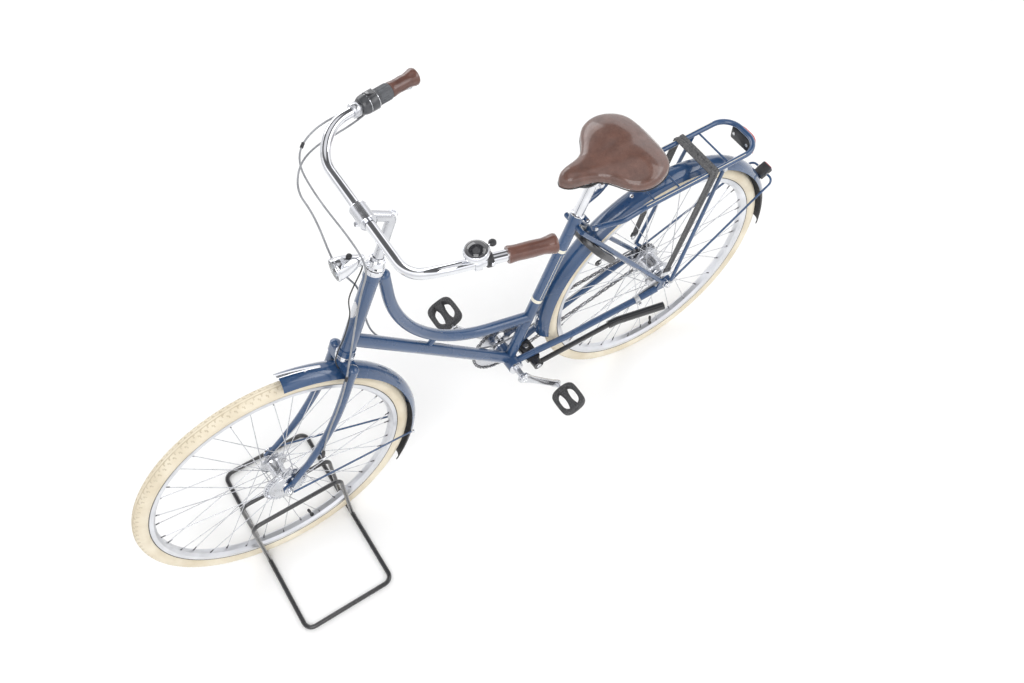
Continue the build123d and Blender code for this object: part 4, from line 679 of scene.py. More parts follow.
make_hub(
    FRONT, "front",
    [
        (-44, 5.1), (-44, 12), (-42.5, 13.5), (-34, 14), (-33, 17), (-31.5, 20.5), (-30.2, 33), (-29.5, 34),
        (-27.5, 34), (-26.8, 33), (-25, 22), (-20, 18.5), (-8, 17.5), (8, 17.5), (20, 19), (24, 24),
        (26.8, 33), (27.5, 34), (29.5, 34), (30.2, 33), (31.5, 31), (33, 30), (33, 5.1)
    ],
    72, 31
)
make_hub(
    REAR, "rear",
    [
        (-38, 5.1), (-38, 24), (-36.5, 26), (-33, 27), (-31.5, 30), (-30.2, 40.5), (-29.5, 42), (-27.5, 42),
        (-26.8, 40.5), (-25.5, 35), (-23, 33), (-14, 32.6), (-13.4, 31.8), (-12.2, 31.8), (-11.6, 32.6),
        (11.6, 32.6), (12.2, 31.8), (13.4, 31.8), (14, 32.6), (23, 33), (25.5, 35), (26.8, 40.5), (27.5, 42),
        (29.5, 42), (30.2, 40.5), (31.5, 33), (36, 31), (38.5, 28), (40, 24), (40, 5.1)
    ],
    96, 39
)


def make_axle(name, centre, body, node, face, radius, nut):
    """An axle rod with washers, hexagon nuts and domed caps."""
    shape = Shape()
    end = face + 14
    shape.lathe(
        centre, AXLE,
        [
            (-end, 0), (-end, radius - 0.8), (-end + 1, radius), (end - 1, radius), (end, radius - 0.8),
            (end, 0)
        ],
        count=24
    )
    for side in (1, -1):
        foot = centre + AXLE * (side * (face + 0.1) * MM)
        shape.lathe(
            foot, AXLE * side,
            [
                (0, radius), (0, nut * 0.62), (0.3, nut * 0.66), (1.4, nut * 0.66), (1.7, nut * 0.62),
                (1.7, radius)
            ],
            count=32
        )
        hex_nut(shape, foot + AXLE * (side * 1.7 * MM), AXLE * side, nut, 6.2)
        shape.lathe(
            foot + AXLE * (side * 7.8 * MM), AXLE * side,
            [(0, nut * 0.40), (2.2, nut * 0.40), (4.2, nut * 0.32), (5.6, nut * 0.18), (6.1, 0)], count=24
        )
    shape.make(name, body, [CHROME], [node], "steel")


make_axle("front_axle_nuts", FRONT, "steering", "front_axle", 56.5, 4.9, 16.4)
make_axle("rear_axle_nuts", REAR, "frame", "rear_axle", 65.0, 4.9, 17.2)

# ---------------------------------------------------------------- chain
PITCH_LENGTH = 12.7
RING_RADIUS = 40 * PITCH_LENGTH / math.tau
COG_RADIUS = 20 * PITCH_LENGTH / math.tau
CHAIN_SIDE = -45.0
OUTER_PLATE = 2.95
INNER_PLATE = 2.05
LINK_END = 4.1


def chain_path():
    """The pitch line round both sprockets, as runs of (length, the point at a distance along it)."""
    across = CRANK - REAR
    slope = math.atan2(across.z, across.x)
    reach = across.length / MM
    lift = math.asin((RING_RADIUS - COG_RADIUS) / reach)
    upper = slope + math.pi / 2 + lift
    lower = slope - math.pi / 2 - lift

    def straight(centre, radius, outward, heading):
        start = centre + radial(outward) * (radius * MM)
        return reach * math.cos(lift), lambda distance: start + radial(heading) * (distance * MM)

    def bend(centre, radius, start, end):
        length = abs(end - start) * radius
        return length, lambda distance: centre + radial(start - distance / radius) * (radius * MM)

    return (
        straight(REAR, COG_RADIUS, upper, slope + lift),
        bend(CRANK, RING_RADIUS, upper, lower),
        straight(CRANK, RING_RADIUS, lower, slope - lift + math.pi),
        bend(REAR, COG_RADIUS, lower, upper - math.tau),
    )


def along_chain(path, distance):
    """The point that far along the chain, in millimetres."""
    for length, point in path:
        if distance <= length:
            return point(distance)
        distance -= length
    return path[0][1](0.0)


def link_plate(shape, a, b, side, thickness, waist):
    """One side plate of a link: round at both pins, narrower between them."""
    along = (b - a).normalized()
    across = along.cross(AXLE).normalized()
    outline = []
    for end, sign in ((a, -1), (b, 1)):
        for k in range(9):
            turn = math.radians(-80 + 160 * k / 8)
            out = along * (sign * math.cos(turn)) + across * (sign * math.sin(turn))
            outline.append(end + out * (LINK_END * MM))
        outline.append((a + b) / 2 + across * (sign * waist * MM))
    shape.plate([p + AXLE * (side * MM) for p in outline], thickness, AXLE)


def make_chain():
    """The whole chain: side plates, rollers and pins, one link to each pitch."""
    shape = Shape()
    path = chain_path()
    total = sum(length for length, _ in path)
    count = int(round(total / PITCH_LENGTH / 2)) * 2
    pins = [along_chain(path, total * k / count) for k in range(count)]
    for index, pin in enumerate(pins):
        spread = OUTER_PLATE if index % 2 == 0 else INNER_PLATE
        for side in (1, -1):
            link_plate(shape, pin, pins[(index + 1) % count], CHAIN_SIDE + side * spread, 0.85, 3.0)
        middle = pin + AXLE * (CHAIN_SIDE * MM)
        shape.lathe(middle, AXLE, mirrored((-1.6, 1.9), (-1.6, 3.6)), count=12, slot=1)
        shape.lathe(middle, AXLE, mirrored((-3.7, 0), (-3.7, 1.7), (-3.4, 1.9)), count=10, slot=1)
    shape.make("chain_links", "frame", [DARK_STEEL, STEEL], ["chain"], "black_steel", sharp=30)


make_chain()

# ---------------------------------------------------------------- cranks and pedals
CRANK_TURN = math.atan2(
    joint_place("pedal_right_spin").z - CRANK.z, joint_place("pedal_right_spin").x - CRANK.x
)
CRANK_REACH = 170.0
ARM_SIDE = 73.0


def crank_half_width(x):
    """Half the arm's width at a place along it: a round boss, a waist and a round eye."""
    if x < 0:
        return math.sqrt(max(0.0, 16**2 - x**2))
    if x > CRANK_REACH:
        return math.sqrt(max(0.0, 12.1**2 - (x - CRANK_REACH) ** 2))
    narrow = 9.2 + 1.4 * (1 - x / CRANK_REACH)
    near = max(0.0, 1 - x / 34) ** 0.8 * (16 - narrow)
    far = max(0.0, 1 - (CRANK_REACH - x) / 26) ** 0.8 * (12 - narrow)
    return narrow + near + far


def make_cranks():
    """Two forged crank arms with their dust caps."""
    shape = Shape()
    for side in (1, -1):
        along = radial(CRANK_TURN + (math.pi if side > 0 else 0))
        across = along.cross(AXLE)
        rows = []
        stations = 28
        for step in range(stations + 1):
            x = -15.5 + (CRANK_REACH + 15.5 + 11.5) * step / stations
            half = max(crank_half_width(x), 1.0)
            depth = 6.3 - 0.9 * math.sin(math.pi * min(max(x / CRANK_REACH, 0), 1))
            row = []
            for k in range(24):
                angle = math.tau * k / 24
                u = half * squared(math.cos(angle), 0.55)
                v = side * ARM_SIDE + depth * squared(math.sin(angle), 0.5)
                row.append(CRANK + along * (x * MM) + across * (u * MM) + AXLE * (v * MM))
            rows.append(row)
        shape.grid(rows, caps=True)
        cap = CRANK + AXLE * (side * (ARM_SIDE + 6.2) * MM)
        dust_cap = [(-1, 11.5), (0.6, 11.5), (1.2, 10.8), (1.4, 8.2), (0.4, 7.6), (0.4, 0)]
        shape.lathe(cap, AXLE * side, dust_cap, count=32, slot=1)
        hex_nut(shape, cap + AXLE * (side * 0.3 * MM), AXLE * side, 9.0, 1.6, slot=1)
        eye = CRANK + along * (CRANK_REACH * MM) + AXLE * (side * (ARM_SIDE - 7.0) * MM)
        pedal_end = [(-0.5, 7.5), (0.7, 7.3), (0.9, 4.0), (0.3, 3.6), (0.3, 0)]
        shape.lathe(eye, AXLE * -side, pedal_end, count=24, slot=1)
    shape.make("crank_pair", "crankset", [ALLOY, CHROME], ["crank_arms"], "aluminium", sharp=50)


make_cranks()


PEDAL_WIDTH = 82.0
PEDAL_REACH = 40.2
PEDAL_HALF = 37.0
PEDAL_TILT = math.radians(20)
PEDAL_SECTION = (
    (0.0, -0.55), (0.0, 0.55), (0.06, 0.86), (0.22, 1.0), (0.72, 1.0), (0.92, 0.86), (1.0, 0.55),
    (1.0, -0.55), (0.92, -0.86), (0.72, -1.0), (0.22, -1.0), (0.06, -0.86),
)
SPINE_SECTION = (
    (-1, -0.5), (-1, 0.5), (-0.72, 0.92), (0, 1), (0.72, 0.92), (1, 0.5), (1, -0.5), (0.72, -0.92), (0, -1),
    (-0.72, -0.92)
)


def make_pedal(name, side, body, node):
    """A barrel-sided rubber platform with two openings beside a waisted spine."""
    centre = joint_place(f"{node}_spin")
    low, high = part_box(node)
    inside = min(abs(low[1]), abs(high[1])) / MM
    fore = radial(-PEDAL_TILT)
    top = radial(math.pi / 2 - PEDAL_TILT)
    middle = Vector((centre.x, 0, centre.z)) + AXLE * (side * (inside + PEDAL_WIDTH / 2) * MM)

    def at(x, y, z):
        return middle + AXLE * (x * MM) + fore * (y * MM) + top * (z * MM)

    shape = Shape()
    around = 96
    rows = []
    for k in range(around):
        c, d = math.cos(math.tau * k / around), math.sin(math.tau * k / around)
        edge_x, edge_y = PEDAL_REACH * squared(c, 0.42), PEDAL_HALF * squared(d, 0.72)
        hole_x, hole_y = 30.5 * squared(c, 0.62), 25.0 * squared(d, 0.9)
        rows.append([
            at(hole_x + (edge_x - hole_x) * reach, hole_y + (edge_y - hole_y) * reach, level * 12.4)
            for reach, level in PEDAL_SECTION
        ])
    shape.grid(rows, wrap_rows=True)
    rows = []
    for k in range(25):
        x = -33.0 + 66.0 * k / 24
        half = 8.2 + 7.5 * (abs(x) / 33) ** 2.2
        rows.append([at(x, half * u, v * 10.6) for u, v in SPINE_SECTION])
    shape.grid(rows, caps=True)
    for index in range(9):
        for face in (1, -1):
            shape.block(at(-24 + index * 6.0, 0, face * 10.5), AXLE, fore, (3.2, 12.0, 0.9), 0.4, steps=1)
    for end in (-1, 1):
        for index in range(11):
            x = -28 + index * 5.6
            edge = PEDAL_HALF * math.sqrt(1 - (x / PEDAL_REACH) ** 4) ** 0.72
            for face in (1, -1):
                rib = at(x, end * (edge - 6.0), face * 12.3)
                shape.block(rib, AXLE, fore, (2.8, 8.0, 0.9), 0.4, steps=1)
            shape.block(at(x, end * (edge - 0.1), 0), AXLE, top, (2.8, 16.0, 0.8), 0.3, steps=1)
    cap = [(-1, 8.5), (0.6, 8.4), (1.1, 7.6), (1.15, 0)]
    shape.lathe(at(side * (PEDAL_WIDTH / 2 - 1.2), 0, 0), AXLE * side, cap, count=28, slot=1)
    shape.make(name, body, [GRIT, PLASTIC], [node], "black_rubber")


make_pedal("left_pedal_tread", 1, "pedal_left", "pedal_left")
make_pedal("right_pedal_tread", -1, "pedal_right", "pedal_right")

# ---------------------------------------------------------------- saddle
SADDLE_PLAN = (
    (66, 0), (67, 30), (70, 56), (80, 84), (94, 100), (110, 110), (130, 117), (150, 119), (170, 115),
    (188, 105), (203, 88), (215, 68), (226, 53), (238, 42), (252, 35), (270, 30), (288, 26), (302, 21),
    (310, 15), (316, 8), (319, 0),
)
SADDLE_RIDGE = (
    (66, 12), (80, 27), (100, 37), (130, 45), (160, 44), (190, 38), (220, 32), (250, 32), (280, 34),
    (300, 31), (312, 23), (319, 11)
)


def along_stations(stations, x):
    """A smooth value between stations, each written as (place, value)."""
    for index in range(len(stations) - 1):
        a, b = stations[index], stations[index + 1]
        if a[0] <= x <= b[0]:
            before = stations[max(index - 1, 0)]
            after = stations[min(index + 2, len(stations) - 1)]
            step = b[0] - a[0]
            t = (x - a[0]) / step
            slope_a = (b[1] - before[1]) / (b[0] - before[0]) * step
            slope_b = (after[1] - a[1]) / (after[0] - a[0]) * step
            rise = b[1] - a[1]
            bend = (3 * rise - 2 * slope_a - slope_b) * t**2 + (slope_a + slope_b - 2 * rise) * t**3
            return a[1] + slope_a * t + bend
    return stations[-1][1]


def make_saddle():
    """A wide padded cover: two lobes, a dip ahead of them and a rounded nose."""
    shape = Shape()
    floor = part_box("saddle")[0][2]
    long_count = 96
    ring_count = 64
    widest = 9.0
    first, last = SADDLE_PLAN[0][0] + 0.3, SADDLE_PLAN[-1][0] - 0.3
    rows = []
    rim = []
    for step in range(long_count + 1):
        t = 0.5 - 0.5 * math.cos(math.pi * step / long_count)
        x = first + (last - first) * t
        half = max(1.2, along_stations(SADDLE_PLAN, x))
        ridge = along_stations(SADDLE_RIDGE, x)
        row = []
        for k in range(ring_count):
            angle = math.tau * k / ring_count
            c, s = math.cos(angle), math.sin(angle)
            y = half * squared(c, 0.8)
            if s >= 0:
                z = widest + (ridge - widest) * abs(s) ** 0.78
                lobe = math.exp(-(((abs(y) - 58) / 34) ** 2)) * math.exp(-(((x - 138) / 46) ** 2))
                dip = math.exp(-((y / 15) ** 2)) * math.exp(-(((x - 150) / 60) ** 2))
                z += (2.6 * lobe - 3.4 * dip) * s
            else:
                z = widest - (widest + 1.0) * abs(s) ** 0.5
            row.append(place(x, y, 0) + UP * (floor + z * MM))
        rows.append(row)
        rim.append((x, half))
    shape.grid(rows, caps=True)
    cover = shape.make("saddle_cover", "frame", [SADDLE_HIDE], ["saddle"], "brown_leather", sharp=75)
    smoother = cover.modifiers.new("round", "SUBSURF")
    smoother.levels = 1
    smoother.render_levels = 1
    trim = Shape()
    loop = rim + [(x, -half) for x, half in reversed(rim[1:-1])]
    trim.tube([place(x, y * 0.992, 0) + UP * (floor + 2.2 * MM) for x, y in loop], 1.3, 8, closed=True)
    trim.make("saddle_piping", "frame", [PLASTIC], slot="brown_leather")


make_saddle()


def spring(shape, foot, height, radius, wire, turns):
    """A coil spring standing on its foot, with closed end turns."""
    points = []
    per_turn = 22
    for step in range(int(turns * per_turn) + 1):
        turn = math.tau * step / per_turn
        t = step / (turns * per_turn)
        ease = t - 0.055 * math.sin(math.tau * t)
        points.append(foot + offset(math.cos(turn) * radius, math.sin(turn) * radius, ease * height))
    shape.tube(points, wire, 9)


def make_saddle_frame():
    """The saddle's clamp, rails, coil springs and rear bar."""
    shape = Shape()
    clamp = up_seat(SEAT_TUBE + POST_OUT + CLAMP_ABOVE_POST)
    shape.lathe(
        clamp, AXLE, mirrored((-24, 4), (-24, 13.2), (-23, 14.6), (-9, 14.8), (-8, 13.6)), count=40, slot=1
    )
    shape.lathe(clamp, AXLE, mirrored((-30, 0), (-30, 4.4), (-29, 5)), count=20, slot=1)
    for side in (1, -1):
        hex_nut(shape, clamp + AXLE * (side * 24 * MM), AXLE * side, 13.0, 5.0, slot=1)
        rail = [
            place(304, side * 7, 877), place(290, side * 8, 874.5), clamp + offset(34, side * 21, 12),
            clamp + offset(-6, side * 22, 11.5), place(166, side * 30, 852), place(138, side * 52, 846),
            place(128, side * 62, 845)
        ]
        shape.tube(smooth_path(rail, 8), 3.5, 12)
        foot = place(128, side * 62, 843.5)
        spring(shape, foot, 33.5, 11.6, 2.3, 4.5)
        shape.lathe(
            foot, UP, [(-3.4, 0), (-3.4, 8), (-2.6, 9.5), (-1.0, 9.5), (-0.6, 4), (4, 4), (6, 2.5), (6, 0)],
            count=24, slot=1
        )
        shape.lathe(
            place(128, side * 62, 874), UP, [(0, 0), (0, 13.2), (1, 13.8), (5.4, 13.8), (5.4, 0)], count=28
        )
    bar = [
        place(112, -66, 876.5), place(108, -30, 876.5), place(107, 0, 876.5), place(108, 30, 876.5),
        place(112, 66, 876.5)
    ]
    shape.tube(smooth_path(bar, 8), 3.0, 10)
    shape.make("saddle_undercarriage", "frame", [BLACK_PAINT, CHROME], ["saddle_springs"], "black_steel")


make_saddle_frame()

# ---------------------------------------------------------------- bar, grips and controls
STITCH = 4.2
BAR_END = place(513, 263, 1098)
GRIP_RUN = (BAR_END - place(725, 218, 1118)).normalized()


def along_grip(distance, side=1):
    """A point on the bar, in millimetres in from its end."""
    point = BAR_END - GRIP_RUN * (distance * MM)
    return Vector((point.x, side * point.y, point.z))


def grip_axis(side):
    """The bar's direction at a grip, toward its end."""
    return Vector((GRIP_RUN.x, side * GRIP_RUN.y, GRIP_RUN.z))


def make_grip(side, length):
    """A wrapped grip, flared at its end, with a sewn seam under it."""
    shape = Shape()
    axis = grip_axis(side)
    zero = along_grip(0, side)
    profile = [
        (4, 0), (4, 8), (3.4, 14.2), (1.6, 18.0), (-2, 19.6), (-7, 19.0), (-14, 17.2), (-25, 15.5),
        (-length * 0.5, 16.3), (-length + 22, 15.7), (-length + 12, 16.0), (-length + 5, 17.0),
        (-length + 2, 16.9), (-length, 16.0), (-length, 11.3),
    ]
    shape.lathe(zero, axis, profile, count=56)
    underside = UP * -1 + AXLE * (0.35 * side)
    first = (underside - axis * underside.dot(axis)).normalized()
    second = axis.cross(first)

    def on_wrap(at, turn_first, turn_second, radius):
        spread = first * math.cos(turn_first) + second * math.sin(turn_second)
        return zero + axis * (at * MM) + spread * (radius * MM)

    for index in range(int((length - 14) / STITCH)):
        at = -8 - index * STITCH
        radius = 16.4 + (2.0 if index < 2 else 0.0)
        for turn in (0.055, -0.055):
            a = on_wrap(at - 1.4, turn, turn, radius)
            b = on_wrap(at + 1.4, turn, -turn * 0.3, radius)
            shape.tube([a, (a + b) / 2 + first * (0.5 * MM), b], [0.45, 0.6, 0.45], 6, 1)
    for turn in (0.12, -0.12):
        seam = [on_wrap(-5 - (length - 9) * k / 20, turn, turn, 17.7 if k < 2 else 16.5) for k in range(21)]
        shape.tube(seam, 0.4, 6)
    return shape


for grip_name, grip_side, grip_length in (("left", 1, 95), ("right", -1, 68)):
    grip = make_grip(grip_side, grip_length)
    grip.make(f"{grip_name}_grip_wrap", "steering", [GRIP_HIDE, THREAD], ["grips"], "brown_leather")


BAR_MIDDLE = steered(BAR_FORWARD, 0, BAR_UP)
LEVER_AT = 159.0
PERCH = along_grip(LEVER_AT, -1) + offset(5, -18, -17)
PERCH_NOSE = offset(26, 4, 8)


def make_shifter():
    """A twist shifter: ribbed sleeve, dark housing with a window, and its barrel."""
    shape = Shape()
    base = along_grip(69, -1)
    inward = grip_axis(-1) * -1
    shape.lathe(
        base, inward, [(0.2, 11.3), (0.2, 16.8), (1, 17.3), (33, 17.3), (34, 16.8), (34, 11.3)], count=48
    )
    first, second = basis(inward)
    for index in range(20):
        out = swung(first, second, math.tau * index / 20)
        a = base + inward * (2.6 * MM) + out * (17.1 * MM)
        b = base + inward * (31.6 * MM) + out * (17.1 * MM)
        shape.tube([a, b], 1.15, 8)
    shape.lathe(
        base, inward,
        [
            (34.2, 11.3), (34.2, 18.4), (36, 20.4), (40, 21.7), (58, 21.9), (70, 20.4), (76, 17.6), (78, 15),
            (78, 11.3)
        ],
        count=56, slot=1
    )
    for at in (39.0, 60.0):
        shape.lathe(
            base, inward, [(at, 21.2), (at, 22.0), (at + 0.5, 22.3), (at + 1.2, 22.0), (at + 1.2, 21.2)],
            count=56, slot=2
        )
    top = (UP - inward * UP.dot(inward)).normalized()
    spot = base + inward * (50 * MM) + top * (21.0 * MM)
    shape.block(spot, inward, inward.cross(top), (19.0, 17.0, 3.4), 3.0, 3)
    shape.block(spot - top * (0.6 * MM), inward, inward.cross(top), (23.0, 21.0, 3.0), 3.6, 1)
    barrel = base + inward * (66 * MM) - top * (19.5 * MM)
    shape.tube(
        [
            barrel - inward * (10 * MM), barrel + inward * (8 * MM),
            barrel + inward * (20 * MM) - top * (5 * MM)
        ],
        [5.6, 5.2, 3.6], 16, 1
    )
    shape.make(
        "twist_shifter", "steering", [SLEEVE, SHIFT_BODY, CHROME, WINDOW], ["gear_shifter"], "grey_plastic"
    )


make_shifter()


def make_lever():
    """The brake lever: clamp, perch, blade with a ball end, and bolts."""
    shape = Shape()
    inward = grip_axis(-1) * -1
    clamp = along_grip(LEVER_AT, -1)
    shape.lathe(clamp, inward, mirrored((-8, 11.4), (-8, 14.6), (-7, 15.8)), count=40)
    perch, nose = PERCH, PERCH_NOSE
    shape.tube(
        [clamp + offset(1, -8, -9), clamp + offset(3, -14, -14), perch, perch + nose * 0.35],
        [8.4, 8.0, 7.2, 6.6], 18
    )
    shape.tube([perch + nose * 0.15, perch + nose * 0.45, perch + nose], [6.6, 6.0, 5.2], 18)
    shape.lathe(
        perch + nose * 0.8, nose, [(0, 5.6), (1, 6.1), (5, 6.1), (6, 5.4), (9, 4.4), (9, 0)], count=20, slot=1
    )
    shape.lathe(
        perch + UP * (9.5 * MM), UP * -1, [(0, 0), (0, 4.2), (1, 5.0), (17.5, 5.0), (18.5, 4.2), (18.5, 0)],
        count=20, slot=1
    )
    mid = along_grip(LEVER_AT - 45, -1) + offset(-13, -27, -31)
    tip = along_grip(23, -1) + offset(-16, -17.5, -38)
    blade = smooth_path(
        [
            perch - nose * 0.1, perch * 0.55 + mid * 0.45 + offset(0, -3, -2), mid,
            (mid + tip) / 2 + offset(0, -2, 0.5), tip
        ],
        10
    )
    count = len(blade)
    widths = [
        5.2 - 1.2 * math.sin(math.pi * min(1.0, k / count)) + (1.6 * max(0.0, (k / count - 0.9) * 10))
        for k in range(count)
    ]
    shape.tube(blade, widths, 18, flat=0.72)
    ball = blade[-1]
    shape.lathe(
        ball, (blade[-1] - blade[-3]).normalized(), mirrored((-5, 0), (-4.6, 2.5), (-3, 4.6), (0, 5.7)),
        count=20
    )
    bolt_axis = AXLE * -1 + UP * 0.2
    shape.lathe(
        clamp + bolt_axis.normalized() * (13.5 * MM), bolt_axis,
        [(0, 0), (0, 4.6), (3.6, 4.6), (4.2, 4.0), (4.2, 2.2), (2.4, 2.1), (2.4, 0)], count=24, slot=1
    )
    shape.make("brake_lever_arm", "steering", [ALLOY, CHROME], ["brake_lever"], "aluminium", sharp=55)


make_lever()


def make_bell():
    """A bell whose dome is coloured dark, a painted reflection of the dark surroundings a chrome dome
    mirrors, in a bright ring; its thumb lever and a bar collar.
    """
    shape = Shape()
    at = along_grip(153)
    axis = grip_axis(1)
    foot = at + UP * ((11.1 + 16) * MM)
    shape.lathe(at, axis, mirrored((-7, 11.4), (-7, 14.4), (-6, 15.1)), count=40, slot=1)
    shape.lathe(at, UP, [(9, 0), (9, 8), (16, 7), (26, 8), (27, 0)], count=24, slot=1)
    shape.lathe(
        foot, UP,
        [(0, 0), (0, 20), (0.4, 24.2), (1.4, 25), (6.4, 25), (9.4, 23.8), (11.8, 21.6), (12.0, 19.6)],
        count=64, slot=1
    )
    # The dome's dark colour is a painted reflection: a chrome dome mirroring dark surroundings.
    shape.lathe(
        foot, UP,
        [(11.4, 19.2), (12.2, 20.4), (14.2, 19.4), (17.2, 15.6), (19.6, 10.6), (21.0, 5.6), (21.6, 0)],
        count=64, slot=3
    )
    knob = foot + offset(-36, -4, 1)
    arm = [foot + offset(-15, 0, 3), foot + offset(-27, -2, 2), knob]
    shape.tube(smooth_path(arm, 6), 2.6, 10, 1, flat=0.5)
    shape.lathe(
        knob, UP, [(-3, 0), (-3, 6), (-1.5, 7.4), (2, 7.6), (4.2, 6.2), (5.4, 3.4), (5.8, 0)], count=32
    )
    collar = along_grip(130)
    shape.lathe(collar, axis, mirrored((-6, 11.3), (-6, 14), (-5, 14.8)), count=36)
    shape.lathe(
        collar, AXLE + UP * 0.2, [(12, 0), (12, 4.4), (17, 4.4), (17.6, 3.8), (17.6, 0)], count=18, slot=1
    )
    shape.make("bell_dome", "steering", [PLASTIC, CHROME, PLASTIC, WINDOW], ["bell"], "chrome")


make_bell()

# ---------------------------------------------------------------- stem and headset
def make_headset():
    """The locknut and sleeve over the head tube, and rings on both cups."""
    shape = Shape()
    top = LOCKNUT_UP
    shape.lathe(
        steered(0, 0, top + 1), STEER_UP,
        [(0, 12.9), (0, 19.5), (1, 20.6), (4, 20.8), (5, 19.6), (6.4, 17.8), (7, 17.8)], count=48
    )
    rows = []
    first, second = basis(STEER_UP)
    for along, reach in ((7.2, 16.8), (8, 18.2), (20.4, 18.2), (21.2, 17.2)):
        row = []
        for k in range(48):
            turn = math.tau * k / 48
            flat = 1.0 if along in (7.2, 21.2) else 1 - 0.03 * (k % 2)
            row.append(steered(0, 0, top + along) + swung(first, second, turn) * (reach * flat * MM))
        rows.append(row)
    shape.grid(rows, caps=True)
    shape.lathe(
        steered(0, 0, top + 20), STEER_UP,
        [(0, 12.0), (0, 14.6), (1.2, 15.2), (4.4, 15.2), (5.4, 13.8), (8.4, 13.2), (8.6, 12.0)], count=40
    )
    shape.make("headset_ring", "steering", [CHROME], ["headset_locknut"], "chrome", sharp=20)
    lower = Shape()
    for foot in (HEAD_BOTTOM_UP - CUP_UP - 0.1, HEAD_TOP_UP + 0.1):
        lower.lathe(
            steered(0, 0, foot), STEER_UP,
            [
                (1.5, 21.4), (2.2, 21.9), (3.6, 21.9), (4.4, 21.4), (7.6, 21.4), (8.4, 21.9), (9.8, 21.9),
                (10.6, 21.4)
            ],
            count=48
        )
    lower.make("headset_cup_rings", "frame", [CHROME], slot="chrome")


make_headset()


def make_stem_trim():
    """The stem's cap, clamp rings and clamp bolt."""
    shape = Shape()
    crest = steered(0, 0, BAR_UP - 4.5)
    shape.lathe(
        crest, STEER_UP, [(-1, 0), (-1, 10.2), (1.2, 10.2), (2.2, 9.2), (2.2, 5.4), (0.6, 5.0), (0.6, 0)],
        count=32
    )
    for side in (1, -1):
        shape.lathe(
            BAR_MIDDLE + AXLE * (side * 20.5 * MM), AXLE * side,
            [(0, 17.9), (0.6, 18.5), (2, 18.5), (2.6, 17.9)], count=48
        )
    under = BAR_MIDDLE - STEER_UP * (18.2 * MM) - STEER_FORWARD * (2 * MM)
    pinch = (STEER_FORWARD + STEER_UP * -0.2).normalized()
    shape.lathe(under, pinch, [(-11, 0), (-11, 5.4), (-10, 6.0), (9, 6.0), (10, 5.4), (10, 0)], count=28)
    hex_nut(shape, under + pinch * (10 * MM), pinch, 10.0, 5.0)
    shape.make("stem_bolts", "steering", [CHROME], slot="chrome")


make_stem_trim()

# ---------------------------------------------------------------- head lamp
LAMP_CENTRE = steered(67, 0, 684)
LAMP_RUN = radial(math.radians(2))
LAMP_FACE = LAMP_CENTRE + LAMP_RUN * (34 * MM)


def make_lamp():
    """A bullet head lamp with a lens, reflector and bulb, and its wire."""
    shape = Shape()
    back = LAMP_RUN * -1
    shape.lathe(
        LAMP_FACE, back,
        [
            (0, 22.6), (0, 24.6), (0.8, 25.0), (4.6, 25.0), (5.6, 24.2), (8, 24.2), (14, 23.7), (24, 22.2),
            (34, 19.6), (44, 16.2), (52, 12.6), (60, 8.8), (66, 6.4), (68, 5.2), (68, 0)
        ],
        count=64
    )
    shape.lathe(
        LAMP_FACE, back, [(0.4, 22.7), (5, 20.8), (12, 16.5), (17, 10.5), (19.5, 4.5), (19.8, 0)], count=64,
        slot=4
    )
    shape.lathe(
        LAMP_FACE, back, [(0.2, 22.8), (-0.8, 21), (-1.9, 15), (-2.5, 8), (-2.7, 0)], count=64, slot=1
    )
    shape.lathe(
        LAMP_FACE + back * (8 * MM), back, [(-1.5, 0), (-1.2, 2.4), (2, 3.6), (8, 3.4), (11, 2.4)], count=20,
        slot=3
    )
    shape.lathe(
        LAMP_CENTRE + back * (4 * MM) + UP * (21.5 * MM), UP,
        [(0, 6.4), (0, 6.0), (2.2, 5.6), (3.0, 4.6), (3.2, 0)], count=24, slot=2
    )
    shape.lathe(
        LAMP_CENTRE + back * (20 * MM) - UP * (12 * MM), UP * -1,
        [(0, 0), (0, 5.6), (6, 5.6), (7, 4.8), (7, 0)], count=24
    )
    shape.make(
        "head_lamp_bowl", "steering", [CHROME, GLASS, PLASTIC, WINDOW, REFLECTOR], ["head_lamp"], "chrome"
    )
    wire = Shape()
    wire.tube(
        smooth_path(
            [
                LAMP_CENTRE + back * (20 * MM) - UP * (17 * MM),
                LAMP_CENTRE + back * (24 * MM) - UP * (34 * MM), steered(44, 6, 590), steered(33, 12, 540),
                steered(30, 14, 480), steered(32, 12, 430), steered(30, 12, 396), steered(20, 17, 374)
            ],
            8
        ),
        1.5, 8
    )
    wire.make("lamp_wire", "steering", [WIRE], slot="grey_plastic")


make_lamp()

# ---------------------------------------------------------------- cables
CABLE_REACH = 90.0


def flowing(corners):
    """A route that touches the middle of each run between corners, turning smoothly."""
    points = [corners[0]]
    for a, b in zip(corners, corners[1:]):
        pieces = max(1, int((b - a).length / MM / CABLE_REACH))
        points.extend(a.lerp(b, (k + 1) / pieces) for k in range(pieces))
    made = [points[0]]
    for index in range(1, len(points) - 1):
        start = points[0] if index == 1 else (points[index - 1] + points[index]) / 2
        end = points[-1] if index == len(points) - 2 else (points[index] + points[index + 1]) / 2
        for step in range(1, 9):
            t = step / 8
            made.append(start * (1 - t) ** 2 + points[index] * (2 * t * (1 - t)) + end * t**2)
    return made


